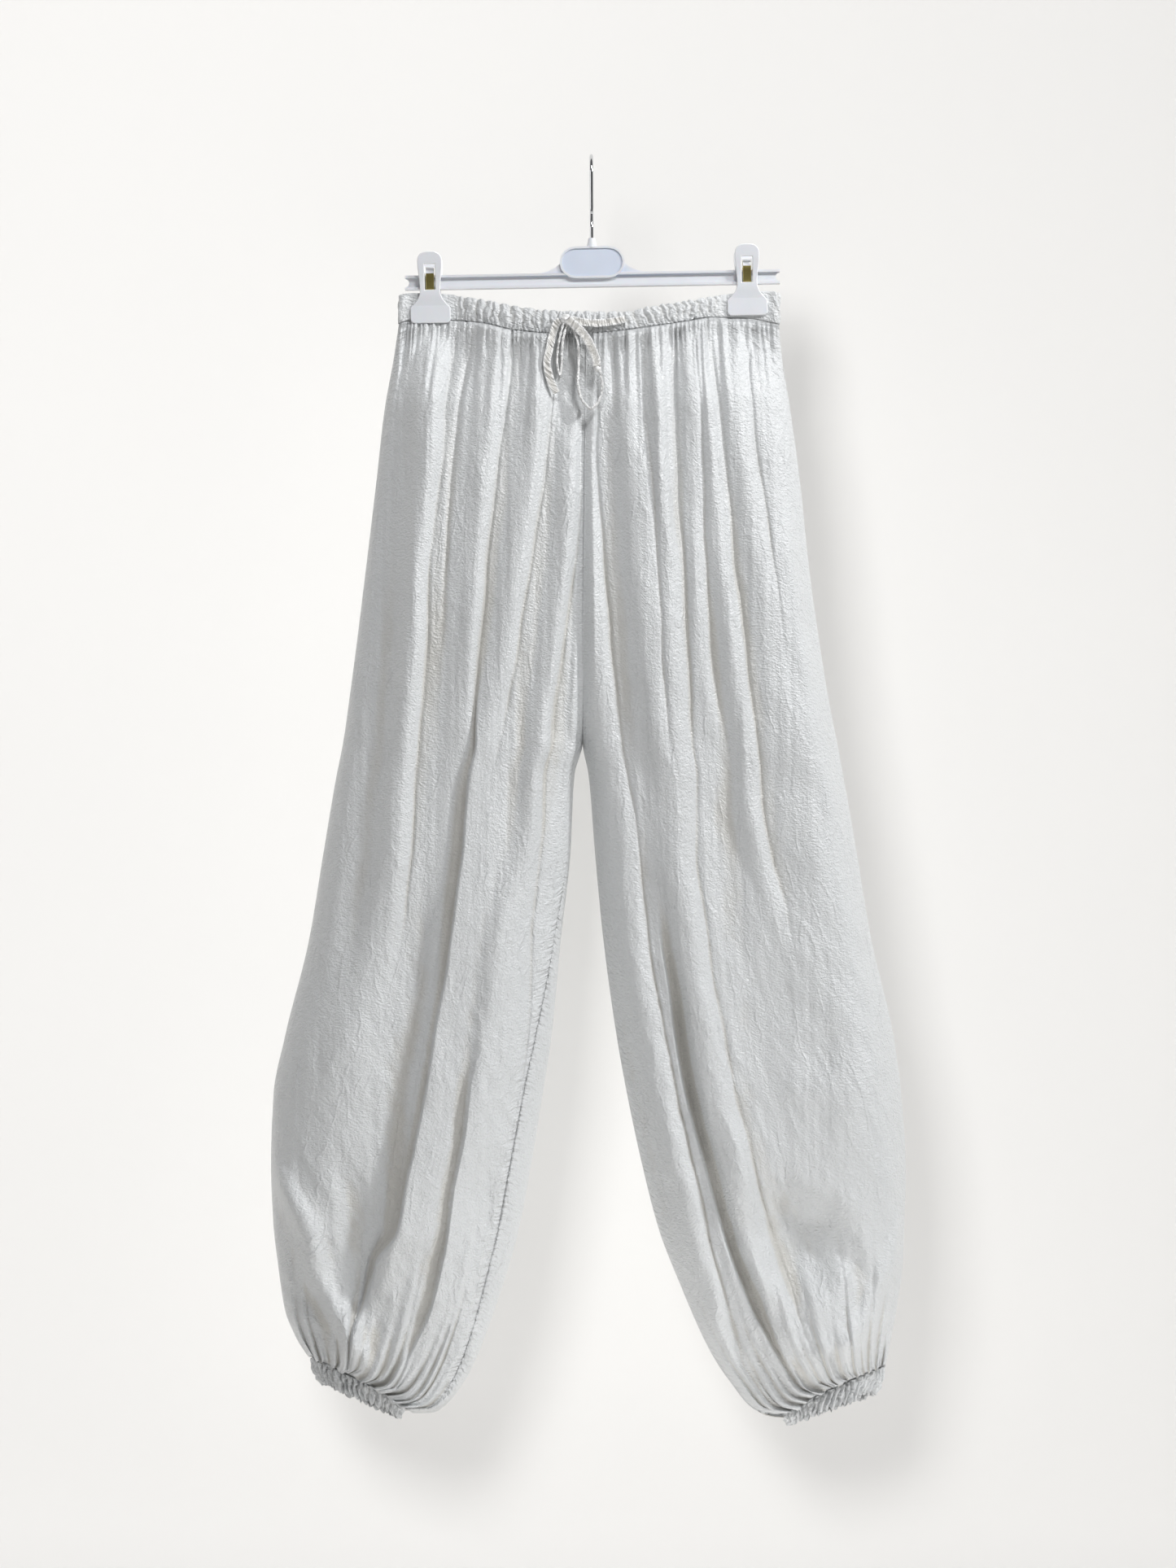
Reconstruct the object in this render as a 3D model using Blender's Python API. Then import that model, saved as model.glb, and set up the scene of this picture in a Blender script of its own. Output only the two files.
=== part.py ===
"""Balloon pants with a gathered waist and gathered cuffs, hanging on a clip hanger.

The tables are in millimetres and the model is in metres. X runs to the right as the front is seen,
-Y faces the viewer and +Z is up. The origin is the inside of the hook's crest, where a rail carries it.
"""

import math

import bmesh
import bpy
import numpy as np
from mathutils import Matrix, Vector
from mathutils.bvhtree import BVHTree

MM = 0.001
SEAM_GAP = 0.34          # between two pieces that are sewn together
SEAT_GAP = 0.3           # between two hard pieces that touch
CLOTH_WALL = 1.2         # cloth with its seams pressed open
CASING_WALL = 1.5        # doubled cloth over elastic

# One row for a ring round the leg, from the waist to the hem. "down" is the length of cloth from the
# waist seam. Outer and inner are the ring's two ends as seen from the front. "front" and "back" are
# the depths of the two layers, "centre" is their depth at the rise seam, and "round" is the share of
# the width that each rounded end takes. The last two rows are the cuff.
# down, outer_x, outer_z, inner_x, inner_z, front, back, centre, round
LEFT_RINGS = (
    (0, -177.4, -155.2, -4.7, -163.1, 14, 14, 14, 0.14),
    (28, -181.5, -182.2, -4.7, -191.2, 19, 17, 17, 0.18),
    (77, -190.5, -231.8, -5.0, -239.2, 25, 22, 21, 0.22),
    (145, -198.4, -300.8, -5.8, -306.8, 30, 26, 24, 0.26),
    (223, -207.8, -379.5, -6.8, -384.0, 34, 29, 25, 0.28),
    (298, -217.1, -454.5, -7.3, -457.5, 36, 31, 24, 0.30),
    (345, -223.5, -502.5, -7.7, -503.2, 37, 32, 20, 0.30),
    (369, -226.9, -527.2, -7.9, -528.0, 38, 32, 12, 0.30),
    (382, -229.1, -540.8, -7.9, -539.2, 38, 32, 0, 0.30),
    (412, -235.1, -570.8, -15.4, -568.5, 38, 33, 0, 0.30),
    (484, -247.1, -642.0, -19.1, -640.5, 40, 34, 0, 0.32),
    (563, -260.2, -720.8, -27.8, -718.5, 43, 36, 0, 0.34),
    (656, -282.4, -810.0, -36.8, -810.8, 47, 39, 0, 0.36),
    (711, -292.9, -863.2, -45.4, -867.0, 50, 41, 0, 0.38),
    (777, -295.1, -927.8, -56.6, -934.5, 51, 42, 0, 0.40),
    (831, -293.2, -979.5, -67.1, -989.2, 50, 41, 0, 0.42),
    (872, -289.1, -1017.0, -79.9, -1034.2, 46, 39, 0, 0.44),
    (920, -282.4, -1058.2, -99.4, -1086.8, 38, 34, 0, 0.46),
    (949, -272.6, -1078.5, -119.6, -1123.5, 31, 29, 0, 0.48),
    (966, -263.6, -1090.5, -145.1, -1143.0, 25, 25, 0, 0.50),
    (978, -257.6, -1099.5, -172.1, -1143.8, 20, 20, 0, 0.50),
    (995, -248.6, -1122.8, -177.4, -1155.0, 18, 18, 0, 0.50),
)
RIGHT_RINGS = (
    (0, 173.2, -153.8, -4.7, -163.1, 14, 14, 14, 0.14),
    (28, 175.5, -181.5, -4.7, -191.2, 19, 17, 17, 0.18),
    (77, 183.0, -229.5, -5.0, -239.2, 25, 22, 21, 0.22),
    (145, 192.8, -302.2, -5.8, -306.8, 30, 26, 24, 0.26),
    (223, 201.0, -379.5, -6.8, -384.0, 34, 29, 25, 0.28),
    (298, 211.5, -454.5, -7.3, -457.5, 36, 31, 24, 0.30),
    (345, 219.4, -502.5, -7.7, -503.2, 37, 32, 20, 0.30),
    (369, 224.2, -527.2, -7.9, -528.0, 38, 32, 12, 0.30),
    (382, 226.5, -538.5, -7.9, -539.2, 38, 32, 0, 0.30),
    (412, 232.1, -568.5, -2.6, -568.5, 38, 33, 0, 0.30),
    (485, 244.9, -642.0, 3.4, -640.5, 40, 34, 0, 0.32),
    (562, 257.6, -717.8, 10.9, -718.5, 43, 36, 0, 0.34),
    (656, 278.6, -810.0, 23.6, -810.8, 47, 39, 0, 0.36),
    (713, 286.1, -867.0, 33.8, -867.0, 50, 41, 0, 0.38),
    (782, 289.9, -934.5, 48.4, -934.5, 51, 42, 0, 0.40),
    (831, 288.4, -979.5, 62.6, -988.5, 50, 41, 0, 0.42),
    (876, 286.9, -1020.8, 80.6, -1035.0, 46, 39, 0, 0.44),
    (922, 281.6, -1058.2, 103.9, -1086.8, 38, 34, 0, 0.46),
    (952, 276.4, -1080.8, 127.9, -1122.0, 31, 29, 0, 0.48),
    (975, 272.6, -1096.5, 154.9, -1146.0, 25, 25, 0, 0.50),
    (988, 269.6, -1107.8, 178.9, -1149.8, 20, 20, 0, 0.50),
    (1007, 260.6, -1132.5, 181.1, -1161.8, 18, 18, 0, 0.50),
)
CUFF_ROWS = 2
CROTCH_DOWN = 382

# The seams between front and back, as shares of the width that the back panel wraps round to the
# front: down, at the side seam, at the inseam.
LEFT_WRAP = (
    (0, 0.008, 0.0), (60, 0.018, 0.0), (180, 0.004, 0.0), (382, 0.001, 0.0), (552, 0.001, 0.023),
    (691, 0.001, 0.070), (845, 0.001, 0.085), (978, 0.001, 0.050),
)
RIGHT_WRAP = ((0, 0.001, 0.0), (382, 0.001, 0.0), (552, 0.001, 0.002), (988, 0.001, 0.002))

# The waistband: one row for a place along it. "bow" is half the depth between its two layers, which
# the clips pinch flat.
# x, top_z, bottom_z, bow
WAIST = (
    (-177.4, -127.5, -152.9, 4.6),
    (-166.1, -126.0, -149.9, 1.3),
    (-148.9, -126.0, -149.2, 1.2),
    (-129.0, -127.4, -149.7, 1.3),
    (-98.6, -132.5, -153.4, 8.0),
    (-72.4, -138.0, -159.8, 11.0),
    (-42.4, -142.5, -162.8, 13.0),
    (-4.7, -144.1, -163.1, 14.0),
    (28.9, -143.7, -160.5, 13.5),
    (56.6, -138.6, -156.4, 12.0),
    (87.4, -133.2, -151.6, 9.0),
    (113.6, -128.6, -147.0, 3.4),
    (126.0, -127.0, -147.0, 1.3),
    (142.9, -125.2, -147.5, 1.2),
    (160.1, -124.0, -150.5, 1.3),
    (173.2, -124.8, -153.8, 4.6),
)
WAIST_END_ROUND = 6.0
BAND_WAVES = 80          # gathers all round the waistband
BAND_WAVE = 1.3
BAND_LEAN = 2.4          # how far the gathers lean on the right half
CUFF_GAP = 0.5           # down the leg, between a panel's hem and the cuff
CUFF_WAVES = 28
CUFF_WAVE = 1.1
CUFF_TIP = 0.30          # how far the back of the cuff hangs lower, for each millimetre of depth

# Folds, one row each. "at" columns are the crest's share of the width from the outer edge, at six
# stations down the leg. A negative height is a hollow. Left and right are the widths of its flanks.
STATIONS = (0, 120, 240, 480, 720, 960)
# name, start, end, height, left, right, at_waist, at_hip, at_seat, at_knee, at_calf, at_hem
LEFT_FRONT_FOLDS = (
    ("side hollow", 10, 640, -5, 24, 20, 0.13, 0.14, 0.14, 0.16, 0.17, 0.18),
    ("hip ridge", -40, 600, 9, 24, 10, 0.246, 0.284, 0.277, 0.337, 0.36, 0.38),
    ("pleat hollow", -40, 310, -6, 13, 13, 0.395, 0.371, 0.383, 0.39, 0.39, 0.39),
    ("main ridge", -40, 1010, 11, 34, 15, 0.565, 0.540, 0.512, 0.515, 0.515, 0.33),
    ("main hollow", -40, 940, -5, 14, 22, 0.635, 0.610, 0.585, 0.590, 0.585, 0.41),
    ("inner ridge", 0, 440, 8, 26, 12, 0.81, 0.78, 0.71, 0.58, 0.56, 0.56),
    ("seam ridge", 20, 860, 9, 22, 14, 0.955, 0.95, 0.91, 0.84, 0.82, 0.80),
    ("calf hollow", 660, 990, -7, 14, 20, 0.73, 0.73, 0.73, 0.73, 0.725, 0.64),
    ("calf ridge", 740, 1010, 9, 20, 15, -0.05, -0.05, -0.05, -0.05, -0.05, 0.40),
)
RIGHT_FRONT_FOLDS = (
    ("seam ridge", 20, 1010, 9, 20, 11, 0.975, 0.970, 0.935, 0.875, 0.86, 0.93),
    ("second ridge", -40, 440, 8, 18, 12, 0.738, 0.715, 0.70, 0.685, 0.68, 0.68),
    ("third ridge", -40, 230, 6, 14, 11, 0.62, 0.612, 0.57, 0.57, 0.57, 0.57),
    ("main ridge", -40, 1010, 11, 30, 15, 0.585, 0.607, 0.597, 0.650, 0.665, 0.53),
    ("main hollow", -40, 960, -5, 14, 22, 0.515, 0.535, 0.525, 0.585, 0.60, 0.47),
    ("fourth ridge", -40, 400, 6, 16, 11, 0.483, 0.482, 0.49, 0.46, 0.46, 0.46),
    ("fifth ridge", -40, 580, 8, 18, 11, 0.391, 0.375, 0.358, 0.36, 0.31, 0.31),
    ("hip ridge", -40, 330, 8, 26, 14, 0.22, 0.235, 0.215, 0.20, 0.20, 0.20),
    ("side hollow", 10, 700, -5, 22, 16, 0.10, 0.12, 0.12, 0.12, 0.12, 0.12),
    ("calf hollow", 640, 990, -6, 14, 14, 0.725, 0.725, 0.725, 0.725, 0.725, 0.58),
    ("calf ridge", 740, 1010, 8, 15, 20, -0.02, -0.02, -0.02, -0.02, -0.02, 0.33),
)
LEFT_BACK_FOLDS = (
    ("seat ridge", -40, 540, 8, 14, 24, 0.20, 0.24, 0.27, 0.31, 0.34, 0.36),
    ("seat hollow", -40, 400, -6, 15, 13, 0.35, 0.38, 0.40, 0.42, 0.42, 0.42),
    ("main ridge", -40, 1010, 10, 14, 32, 0.55, 0.52, 0.50, 0.52, 0.54, 0.42),
    ("inner ridge", -20, 470, 8, 14, 24, 0.77, 0.74, 0.69, 0.62, 0.60, 0.60),
    ("rise ridge", 20, 840, 8, 16, 20, 0.94, 0.93, 0.88, 0.82, 0.80, 0.78),
    ("calf hollow", 640, 990, -7, 16, 18, 0.70, 0.70, 0.70, 0.70, 0.69, 0.60),
    ("calf ridge", 720, 1010, 8, 18, 18, 0.0, 0.0, 0.0, 0.0, 0.02, 0.34),
)
RIGHT_BACK_FOLDS = (
    ("seat ridge", -40, 480, 8, 24, 14, 0.24, 0.26, 0.25, 0.28, 0.30, 0.32),
    ("seat hollow", -40, 430, -6, 13, 15, 0.40, 0.41, 0.40, 0.41, 0.41, 0.41),
    ("main ridge", -40, 1010, 10, 32, 14, 0.53, 0.55, 0.56, 0.60, 0.61, 0.50),
    ("inner ridge", -20, 520, 8, 22, 14, 0.80, 0.78, 0.74, 0.70, 0.68, 0.68),
    ("rise ridge", 20, 800, 8, 20, 16, 0.95, 0.92, 0.90, 0.86, 0.84, 0.84),
    ("calf hollow", 660, 990, -6, 16, 16, 0.74, 0.74, 0.74, 0.74, 0.74, 0.64),
    ("calf ridge", 740, 1010, 8, 18, 18, 0.05, 0.05, 0.05, 0.05, 0.05, 0.30),
)
FOLD_FADE = 90           # how fast a fold rises below its start
FOLD_EDGE = 0.05         # share of the width over which folds die away at a seam
GATHERS = 7              # small gathers that run out of each panel's two ends
WAIST_GATHER = 1.6
HEM_GATHER = 2.2
GATHER_REACH = 40
THIN_LIMIT = 2.1         # a hollow leaves at least this between the cloth's outer face and the middle
FLAT_DOWN = 8            # the waist's flat section runs on this far below its seam
SECTION_BLEND = 90       # over this length the flat waist opens into the leg's own section
END_ZONE = 0.2           # share of a ring's points in each rounded end

FRONT_GRID = (27, 10, 14)            # points across, down to the crotch, and below it
BACK_GRID = (19, 10, 14)

# The string: one row for a point on its middle, x, z, and how far off the cloth it lies.
STRING_WIDTH = 7.6
STRING_WALL = 1.0
STRING_STEP = 7.0
STRINGS = {
    "string_lead": ("flat", ((31.1, -150.8, 0.9), (19.1, -153.4, 1.1), (4.9, -155.0, 1.6),
                             (-9.4, -153.9, 2.6), (-18.0, -152.2, 3.6))),
    "string_tail_left": ("flat", ((-31.3, -154.0, 3.2), (-33.9, -160.8, 2.6), (-36.3, -169.5, 2.6),
                                  (-38.6, -180.8, 2.8), (-40.6, -192.0, 2.8), (-38.8, -202.7, 3.0))),
    "string_tip_left": ("flat", ((-36.4, -210.9, 3.0), (-34.2, -215.2, 3.0), (-31.8, -219.6, 2.8))),
    "string_loop_left": ("edge", ((-21.8, -157.6, 5.2), (-25.3, -168.0, 5.2), (-26.9, -181.9, 5.2),
                                  (-27.3, -193.9, 5.2), (-29.0, -202.5, 5.2), (-30.9, -193.9, 5.2),
                                  (-30.6, -180.0, 5.2), (-28.6, -167.4, 5.2), (-25.3, -157.6, 5.2))),
    "string_tail_right": ("flat", ((-20.6, -153.0, 9.2), (-16.1, -157.0, 10.2), (-11.6, -161.5, 11.2),
                                   (-5.6, -168.4, 11.2), (0.0, -178.5, 11.2), (3.8, -187.5, 12.0),
                                   (5.2, -193.1, 12.8))),
    "string_loop_right": ("edge", ((-17.6, -157.8, 5.2), (-12.0, -176.0, 5.2), (-11.6, -195.8, 5.2),
                                   (-12.0, -213.0, 5.2), (-7.9, -227.2, 5.2), (-0.4, -234.8, 5.2),
                                   (6.8, -228.0, 5.2), (10.1, -216.0, 5.2), (8.6, -203.2, 5.2),
                                   (4.9, -188.2, 5.2), (-3.4, -172.4, 5.2), (-13.6, -157.6, 5.2))),
}
# name: x, z, off the cloth, width, depth, height
KNOTS = {
    "string_knot": (-23.4, -151.8, 4.9, 10.0, 8.6, 10.6),
    "string_end_left": (-37.5, -206.8, 3.4, 6.4, 5.6, 8.2),
    "string_end_right": (5.6, -197.3, 13.0, 7.0, 6.0, 7.8),
}

# The hanger.
TILT = math.radians(1.0)             # the bar's right end is the higher one
BAR_CENTRE = Vector((1.1, 0.0, -112.5))
BAR_LENGTH = 345.0
BAR_HEIGHT = 13.0
BAR_DEPTH = 8.0
BAR_WEB = 2.4
BAR_RAIL = 2.2
NOTCH_RADIUS = 4.0
PLATE_WIDTH = 60.0
PLATE_HEIGHT = 29.3
PLATE_RISE = 16.1                    # the plate's middle above the bar's middle
PLATE_RIM = 2.0
PLATE_RECESS = 1.0
WING_REACH = 24.0
WING_DEPTH = 5.0
WING_RISE = 12.5
BOSS_WIDTH = 10.0
BOSS_TOP_WIDTH = 6.4
BOSS_HEIGHT = 8.0
BORE_DEPTH = 9.0
WIRE_RADIUS = 1.7
HOOK_RADIUS = 20.0                   # middle of the wire round the crest
HOOK_TIP_Z = -55.0
HOOK_STEM_BEND_Z = -40.0
BOSS_TOP_Z = -74.0

CLIP_HEIGHT = 65.0
CLIPS = {"clip_left": (-148.9, -87.8), "clip_right": (142.9, -80.7)}
CLIP_WALL = 2.6
CLIP_TOP_HALF = 11.3
CLIP_TOP_ROUND = 8.0
CLIP_PAD_HALF = 18.5
CLIP_PAD_ROUND = 4.0
# Right edge of the clip between its round top and its pad: half width, distance below the top.
CLIP_SIDE = ((11.2, 14.0), (10.2, 23.0), (9.3, 32.0), (9.5, 38.0), (11.4, 43.0), (15.0, 47.4), (18.4, 50.6))
CLIP_WINDOW = (4.9, 11.3, 34.5)      # half width, top and bottom below the clip's top
# The inner face of a jaw: distance below the clip's top, distance from the middle plane.
CLIP_BEND = ((0.0, 9.5), (13.0, 7.8), (22.0, 5.4), (28.0, 4.5), (36.0, 4.4), (43.0, 3.9), (49.0, 2.7), (65.0, 2.7))
SPRING_WIDTH = 7.4
SPRING_WALL = 0.8
SPRING_ARCH_TOP = 13.4               # below the clip's top

COLOURS = {
    "cloth": ((0.86, 0.87, 0.87), 0.45, 0.0),
    "plastic": ((0.66, 0.66, 0.69), 0.35, 0.0),
    "chrome": ((0.72, 0.72, 0.73), 0.12, 1.0),
    "brass": ((0.62, 0.53, 0.18), 0.3, 1.0),
}


class Curve:
    """A smooth curve through table values that never overshoots them."""

    def __init__(self, places, values):
        self.x = np.asarray(places, float)
        self.y = np.asarray(values, float)
        steps = np.diff(self.x)
        slopes = np.diff(self.y) / steps
        self.m = np.empty_like(self.y)
        self.m[0] = slopes[0]
        self.m[-1] = slopes[-1]
        for k in range(1, len(self.x) - 1):
            before, after = slopes[k - 1], slopes[k]
            if before * after <= 0:
                self.m[k] = 0.0
                continue
            near = 2 * steps[k] + steps[k - 1]
            far = steps[k] + 2 * steps[k - 1]
            self.m[k] = (near + far) / (near / before + far / after)

    def __call__(self, place):
        place = np.clip(np.asarray(place, float), self.x[0], self.x[-1])
        k = np.clip(np.searchsorted(self.x, place, side="right") - 1, 0, len(self.x) - 2)
        h = self.x[k + 1] - self.x[k]
        t = (place - self.x[k]) / h
        start = (1 + 2 * t) * (1 - t) ** 2 * self.y[k] + t * (1 - t) ** 2 * h * self.m[k]
        end = t * t * (3 - 2 * t) * self.y[k + 1] + t * t * (t - 1) * h * self.m[k + 1]
        return start + end


def smooth(value):
    value = np.clip(value, 0.0, 1.0)
    return value * value * (3 - 2 * value)


def ellipse_end(share):
    """Height of a quarter ellipse over the first share of a width."""
    share = np.clip(share, 0.0, 1.0)
    return np.sqrt(np.clip(1 - (1 - share) ** 2, 0.0, 1.0))


WAIST_TOP = Curve([row[0] for row in WAIST], [row[1] for row in WAIST])
WAIST_BOTTOM = Curve([row[0] for row in WAIST], [row[2] for row in WAIST])
WAIST_BOW = Curve([row[0] for row in WAIST], [row[3] for row in WAIST])
WAIST_LEFT = WAIST[0][0]
WAIST_RIGHT = WAIST[-1][0]
PINCH_WALL = 0.8         # the outer face of each layer lies this far outside its bow


def waist_depth(x):
    """Outer face of the waist, measured from the middle plane."""
    ends = ellipse_end((x - WAIST_LEFT) / WAIST_END_ROUND) * ellipse_end((WAIST_RIGHT - x) / WAIST_END_ROUND)
    return (WAIST_BOW(x) + PINCH_WALL) * ends


def pinch(x):
    """One under a clip's pad, nought away from it."""
    reach = [np.abs(x - clip[0]) for clip in CLIPS.values()]
    return 1 - smooth((np.minimum(*reach) - CLIP_PAD_HALF) / 16.0)


class Leg:
    """One leg, as a tube of cloth from the waist seam to the end of the cuff."""

    def __init__(self, rings, front_folds, back_folds, wrap, outward):
        columns = list(zip(*rings))
        down = columns[0]
        names = ("outer_x", "outer_z", "inner_x", "inner_z", "front", "back", "centre", "round")
        for name, values in zip(names, columns[1:]):
            setattr(self, name, Curve(down, values))
        wrap_columns = list(zip(*wrap))
        self.side_wrap = Curve(wrap_columns[0], wrap_columns[1])
        self.inseam_wrap = Curve(wrap_columns[0], wrap_columns[2])
        self.length = down[-CUFF_ROWS]
        self.cuff_end = down[-1]
        self.folds = (front_folds, back_folds)
        self.outward = outward

    def share(self, ring_place):
        """Share of the width at a place on the ring, from 0 at the outer end to 1 at the inner."""
        corner = END_ZONE / (2 * (1 - END_ZONE))
        first = corner * (ring_place / END_ZONE) ** 2
        last = 1 - corner * ((1 - ring_place) / END_ZONE) ** 2
        middle = corner + (ring_place - END_ZONE) * (1 - 2 * corner) / (1 - 2 * END_ZONE)
        return np.where(ring_place < END_ZONE, first, np.where(ring_place > 1 - END_ZONE, last, middle))

    def wrap_place(self, width_share):
        """Place on the ring of a seam that lies a share of the width inside an end."""
        corner = END_ZONE / (2 * (1 - END_ZONE))
        return END_ZONE * np.sqrt(np.clip(width_share, 0.0, corner) / corner)

    def fold_height(self, rows, down, across, x):
        """Sum of the folds' heights at points of one layer."""
        total = np.zeros_like(x)
        left = self.outer_x(down)
        width = self.inner_x(down) - left
        for row in rows:
            name, start, end, height, left_flank, right_flank = row[:6]
            crest = Curve(STATIONS, row[6:])(down)
            distance = x - (left + width * crest)
            flank = np.where(distance < 0, left_flank, right_flank)
            bump = 0.5 + 0.5 * np.cos(np.pi * np.clip(distance / flank, -1.0, 1.0))
            fade = min(0.35 * (end - start), 150.0)
            total = total + height * bump * smooth((down - start) / FOLD_FADE) * smooth((end - down) / fade)
        waves = np.cos(2 * np.pi * GATHERS * across)
        reach = WAIST_GATHER * np.exp(-down / GATHER_REACH)
        reach = reach + HEM_GATHER * np.exp(-np.abs(self.length - down) / GATHER_REACH)
        ends = smooth(across / FOLD_EDGE) * smooth((1 - across) / FOLD_EDGE)
        held = 1 - pinch(x) * (1 - smooth((down - 6) / 45.0))
        return (total + reach * waves) * ends * held

    def point(self, down, around):
        """Outer face at a length down the leg. around runs 0 to 1 over the front, 1 to 2 over the back."""
        down = np.asarray(down, float)
        around = np.mod(around, 2.0)
        place = np.where(around <= 1, around, 2 - around)
        behind = around > 1
        across = self.share(place)
        x = self.outer_x(down) + (self.inner_x(down) - self.outer_x(down)) * across
        z = self.outer_z(down) + (self.inner_z(down) - self.outer_z(down)) * across
        seam_x = self.outer_x(0) + (self.inner_x(0) - self.outer_x(0)) * across
        seam_z = self.outer_z(0) + (self.inner_z(0) - self.outer_z(0)) * across
        z = z + (WAIST_BOTTOM(seam_x) - SEAM_GAP - seam_z) * (1 - smooth(down / 70.0))
        depth = np.where(behind, self.back(down), self.front(down))
        centre = self.centre(down) / depth
        rounding = self.round(down)
        inward = np.clip((1 - across) / rounding, 0.0, 1.0)
        inner = (1 - centre) * ellipse_end(inward) + centre * smooth(inward)
        section = depth * ellipse_end(across / rounding) * (centre + (1 - centre) * inner)
        opened = smooth((down - FLAT_DOWN) / SECTION_BLEND)
        level = (1 - opened) * waist_depth(seam_x) + opened * section
        rows = [self.fold_height(folds, down, across, x) for folds in self.folds]
        folded = np.where(behind, rows[1], rows[0])
        room = np.maximum(level - THIN_LIMIT, 0.05)
        folded = np.where(folded < 0, room * np.tanh(folded / room), folded)
        y = np.where(behind, 1.0, -1.0) * (level + folded)
        z = z - self.tip(down) * (y + self.front(down))
        return np.stack([x, y, z], axis=-1)

    def tip(self, down):
        """How far a ring hangs lower behind, for each millimetre of depth."""
        return CUFF_TIP * smooth((down - (self.length - 90)) / 90.0)

    def in_ring(self, vectors, down):
        """Unit vectors turned into the plane of the ring at a length down the leg."""
        slope = (self.inner_z(down) - self.outer_z(down)) / (self.inner_x(down) - self.outer_x(down))
        turned = vectors.copy()
        turned[..., 2] = slope * turned[..., 0] - self.tip(down) * turned[..., 1]
        return turned / np.linalg.norm(turned, axis=-1, keepdims=True)

    def outward_at(self, down, around):
        """Unit vector that points out of the cloth."""
        lengthwise = self.point(down + 1.0, around) - self.point(np.maximum(down - 1.0, 0.0), around)
        rise = down < CROTCH_DOWN - 1
        before = np.where(rise & (around > 1), np.maximum(around - 0.004, 1 + 1e-6), around - 0.004)
        after = np.where(rise & (around <= 1), np.minimum(around + 0.004, 1.0), around + 0.004)
        sideways = self.point(down, after) - self.point(down, before)
        normal = self.outward * np.cross(lengthwise, sideways)
        return normal / np.linalg.norm(normal, axis=-1, keepdims=True)


LEFT_LEG = Leg(LEFT_RINGS, LEFT_FRONT_FOLDS, LEFT_BACK_FOLDS, LEFT_WRAP, 1.0)
RIGHT_LEG = Leg(RIGHT_RINGS, RIGHT_FRONT_FOLDS, RIGHT_BACK_FOLDS, RIGHT_WRAP, -1.0)


def material(kind):
    """The object's own material of one kind."""
    colour, roughness, metallic = COLOURS[kind]
    made = bpy.data.materials.new(kind)
    made.use_nodes = True
    shader = made.node_tree.nodes["Principled BSDF"]
    shader.inputs["Base Color"].default_value = (*colour, 1.0)
    shader.inputs["Roughness"].default_value = roughness
    shader.inputs["Metallic"].default_value = metallic
    return made


def place_object(name, mesh, kind, collection):
    """Link a mesh as a named object with its own material."""
    made = bpy.data.objects.new(name, mesh)
    made.data.materials.append(material(kind))
    collection.objects.link(made)
    return made


def shell(name, points, inward, wall, collection, closed=False):
    """A cloth wall: a grid laid on the points, then extruded inward by the wall's thickness."""
    down_count, around_count = points.shape[:2]
    grid = bmesh.new()
    layer_row = grid.verts.layers.int.new("row")
    layer_column = grid.verts.layers.int.new("column")
    bmesh.ops.create_grid(grid, x_segments=around_count - 1, y_segments=down_count - 1, size=1.0)
    for vertex in grid.verts:
        column = round((vertex.co.x + 1) / 2 * (around_count - 1))
        row = round((vertex.co.y + 1) / 2 * (down_count - 1))
        vertex[layer_row] = row
        vertex[layer_column] = column
        vertex.co = Vector(points[row, column]) * MM
    if closed:
        bmesh.ops.remove_doubles(grid, verts=grid.verts, dist=1e-6)
    moved = bmesh.ops.extrude_face_region(grid, geom=grid.faces[:], use_keep_orig=True)
    for part in moved["geom"]:
        if isinstance(part, bmesh.types.BMVert):
            part.co += Vector(inward[part[layer_row], part[layer_column]]) * wall * MM
    bmesh.ops.recalc_face_normals(grid, faces=grid.faces)
    bmesh.ops.triangulate(grid, faces=grid.faces[:])
    mesh = bpy.data.meshes.new(name)
    grid.to_mesh(mesh)
    grid.free()
    mesh.shade_smooth()
    return place_object(name, mesh, "cloth", collection)


def pull_in(points, edge, neighbour, distance):
    """Move an edge of a grid towards its neighbour line by a distance."""
    step = points[neighbour] - points[edge]
    step = step / np.linalg.norm(step, axis=-1, keepdims=True)
    points[edge] = points[edge] + step * distance


def level(vectors, axis):
    """Remove one axis from unit vectors."""
    vectors[..., axis] = 0.0
    vectors /= np.linalg.norm(vectors, axis=-1, keepdims=True)
    return vectors


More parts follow.
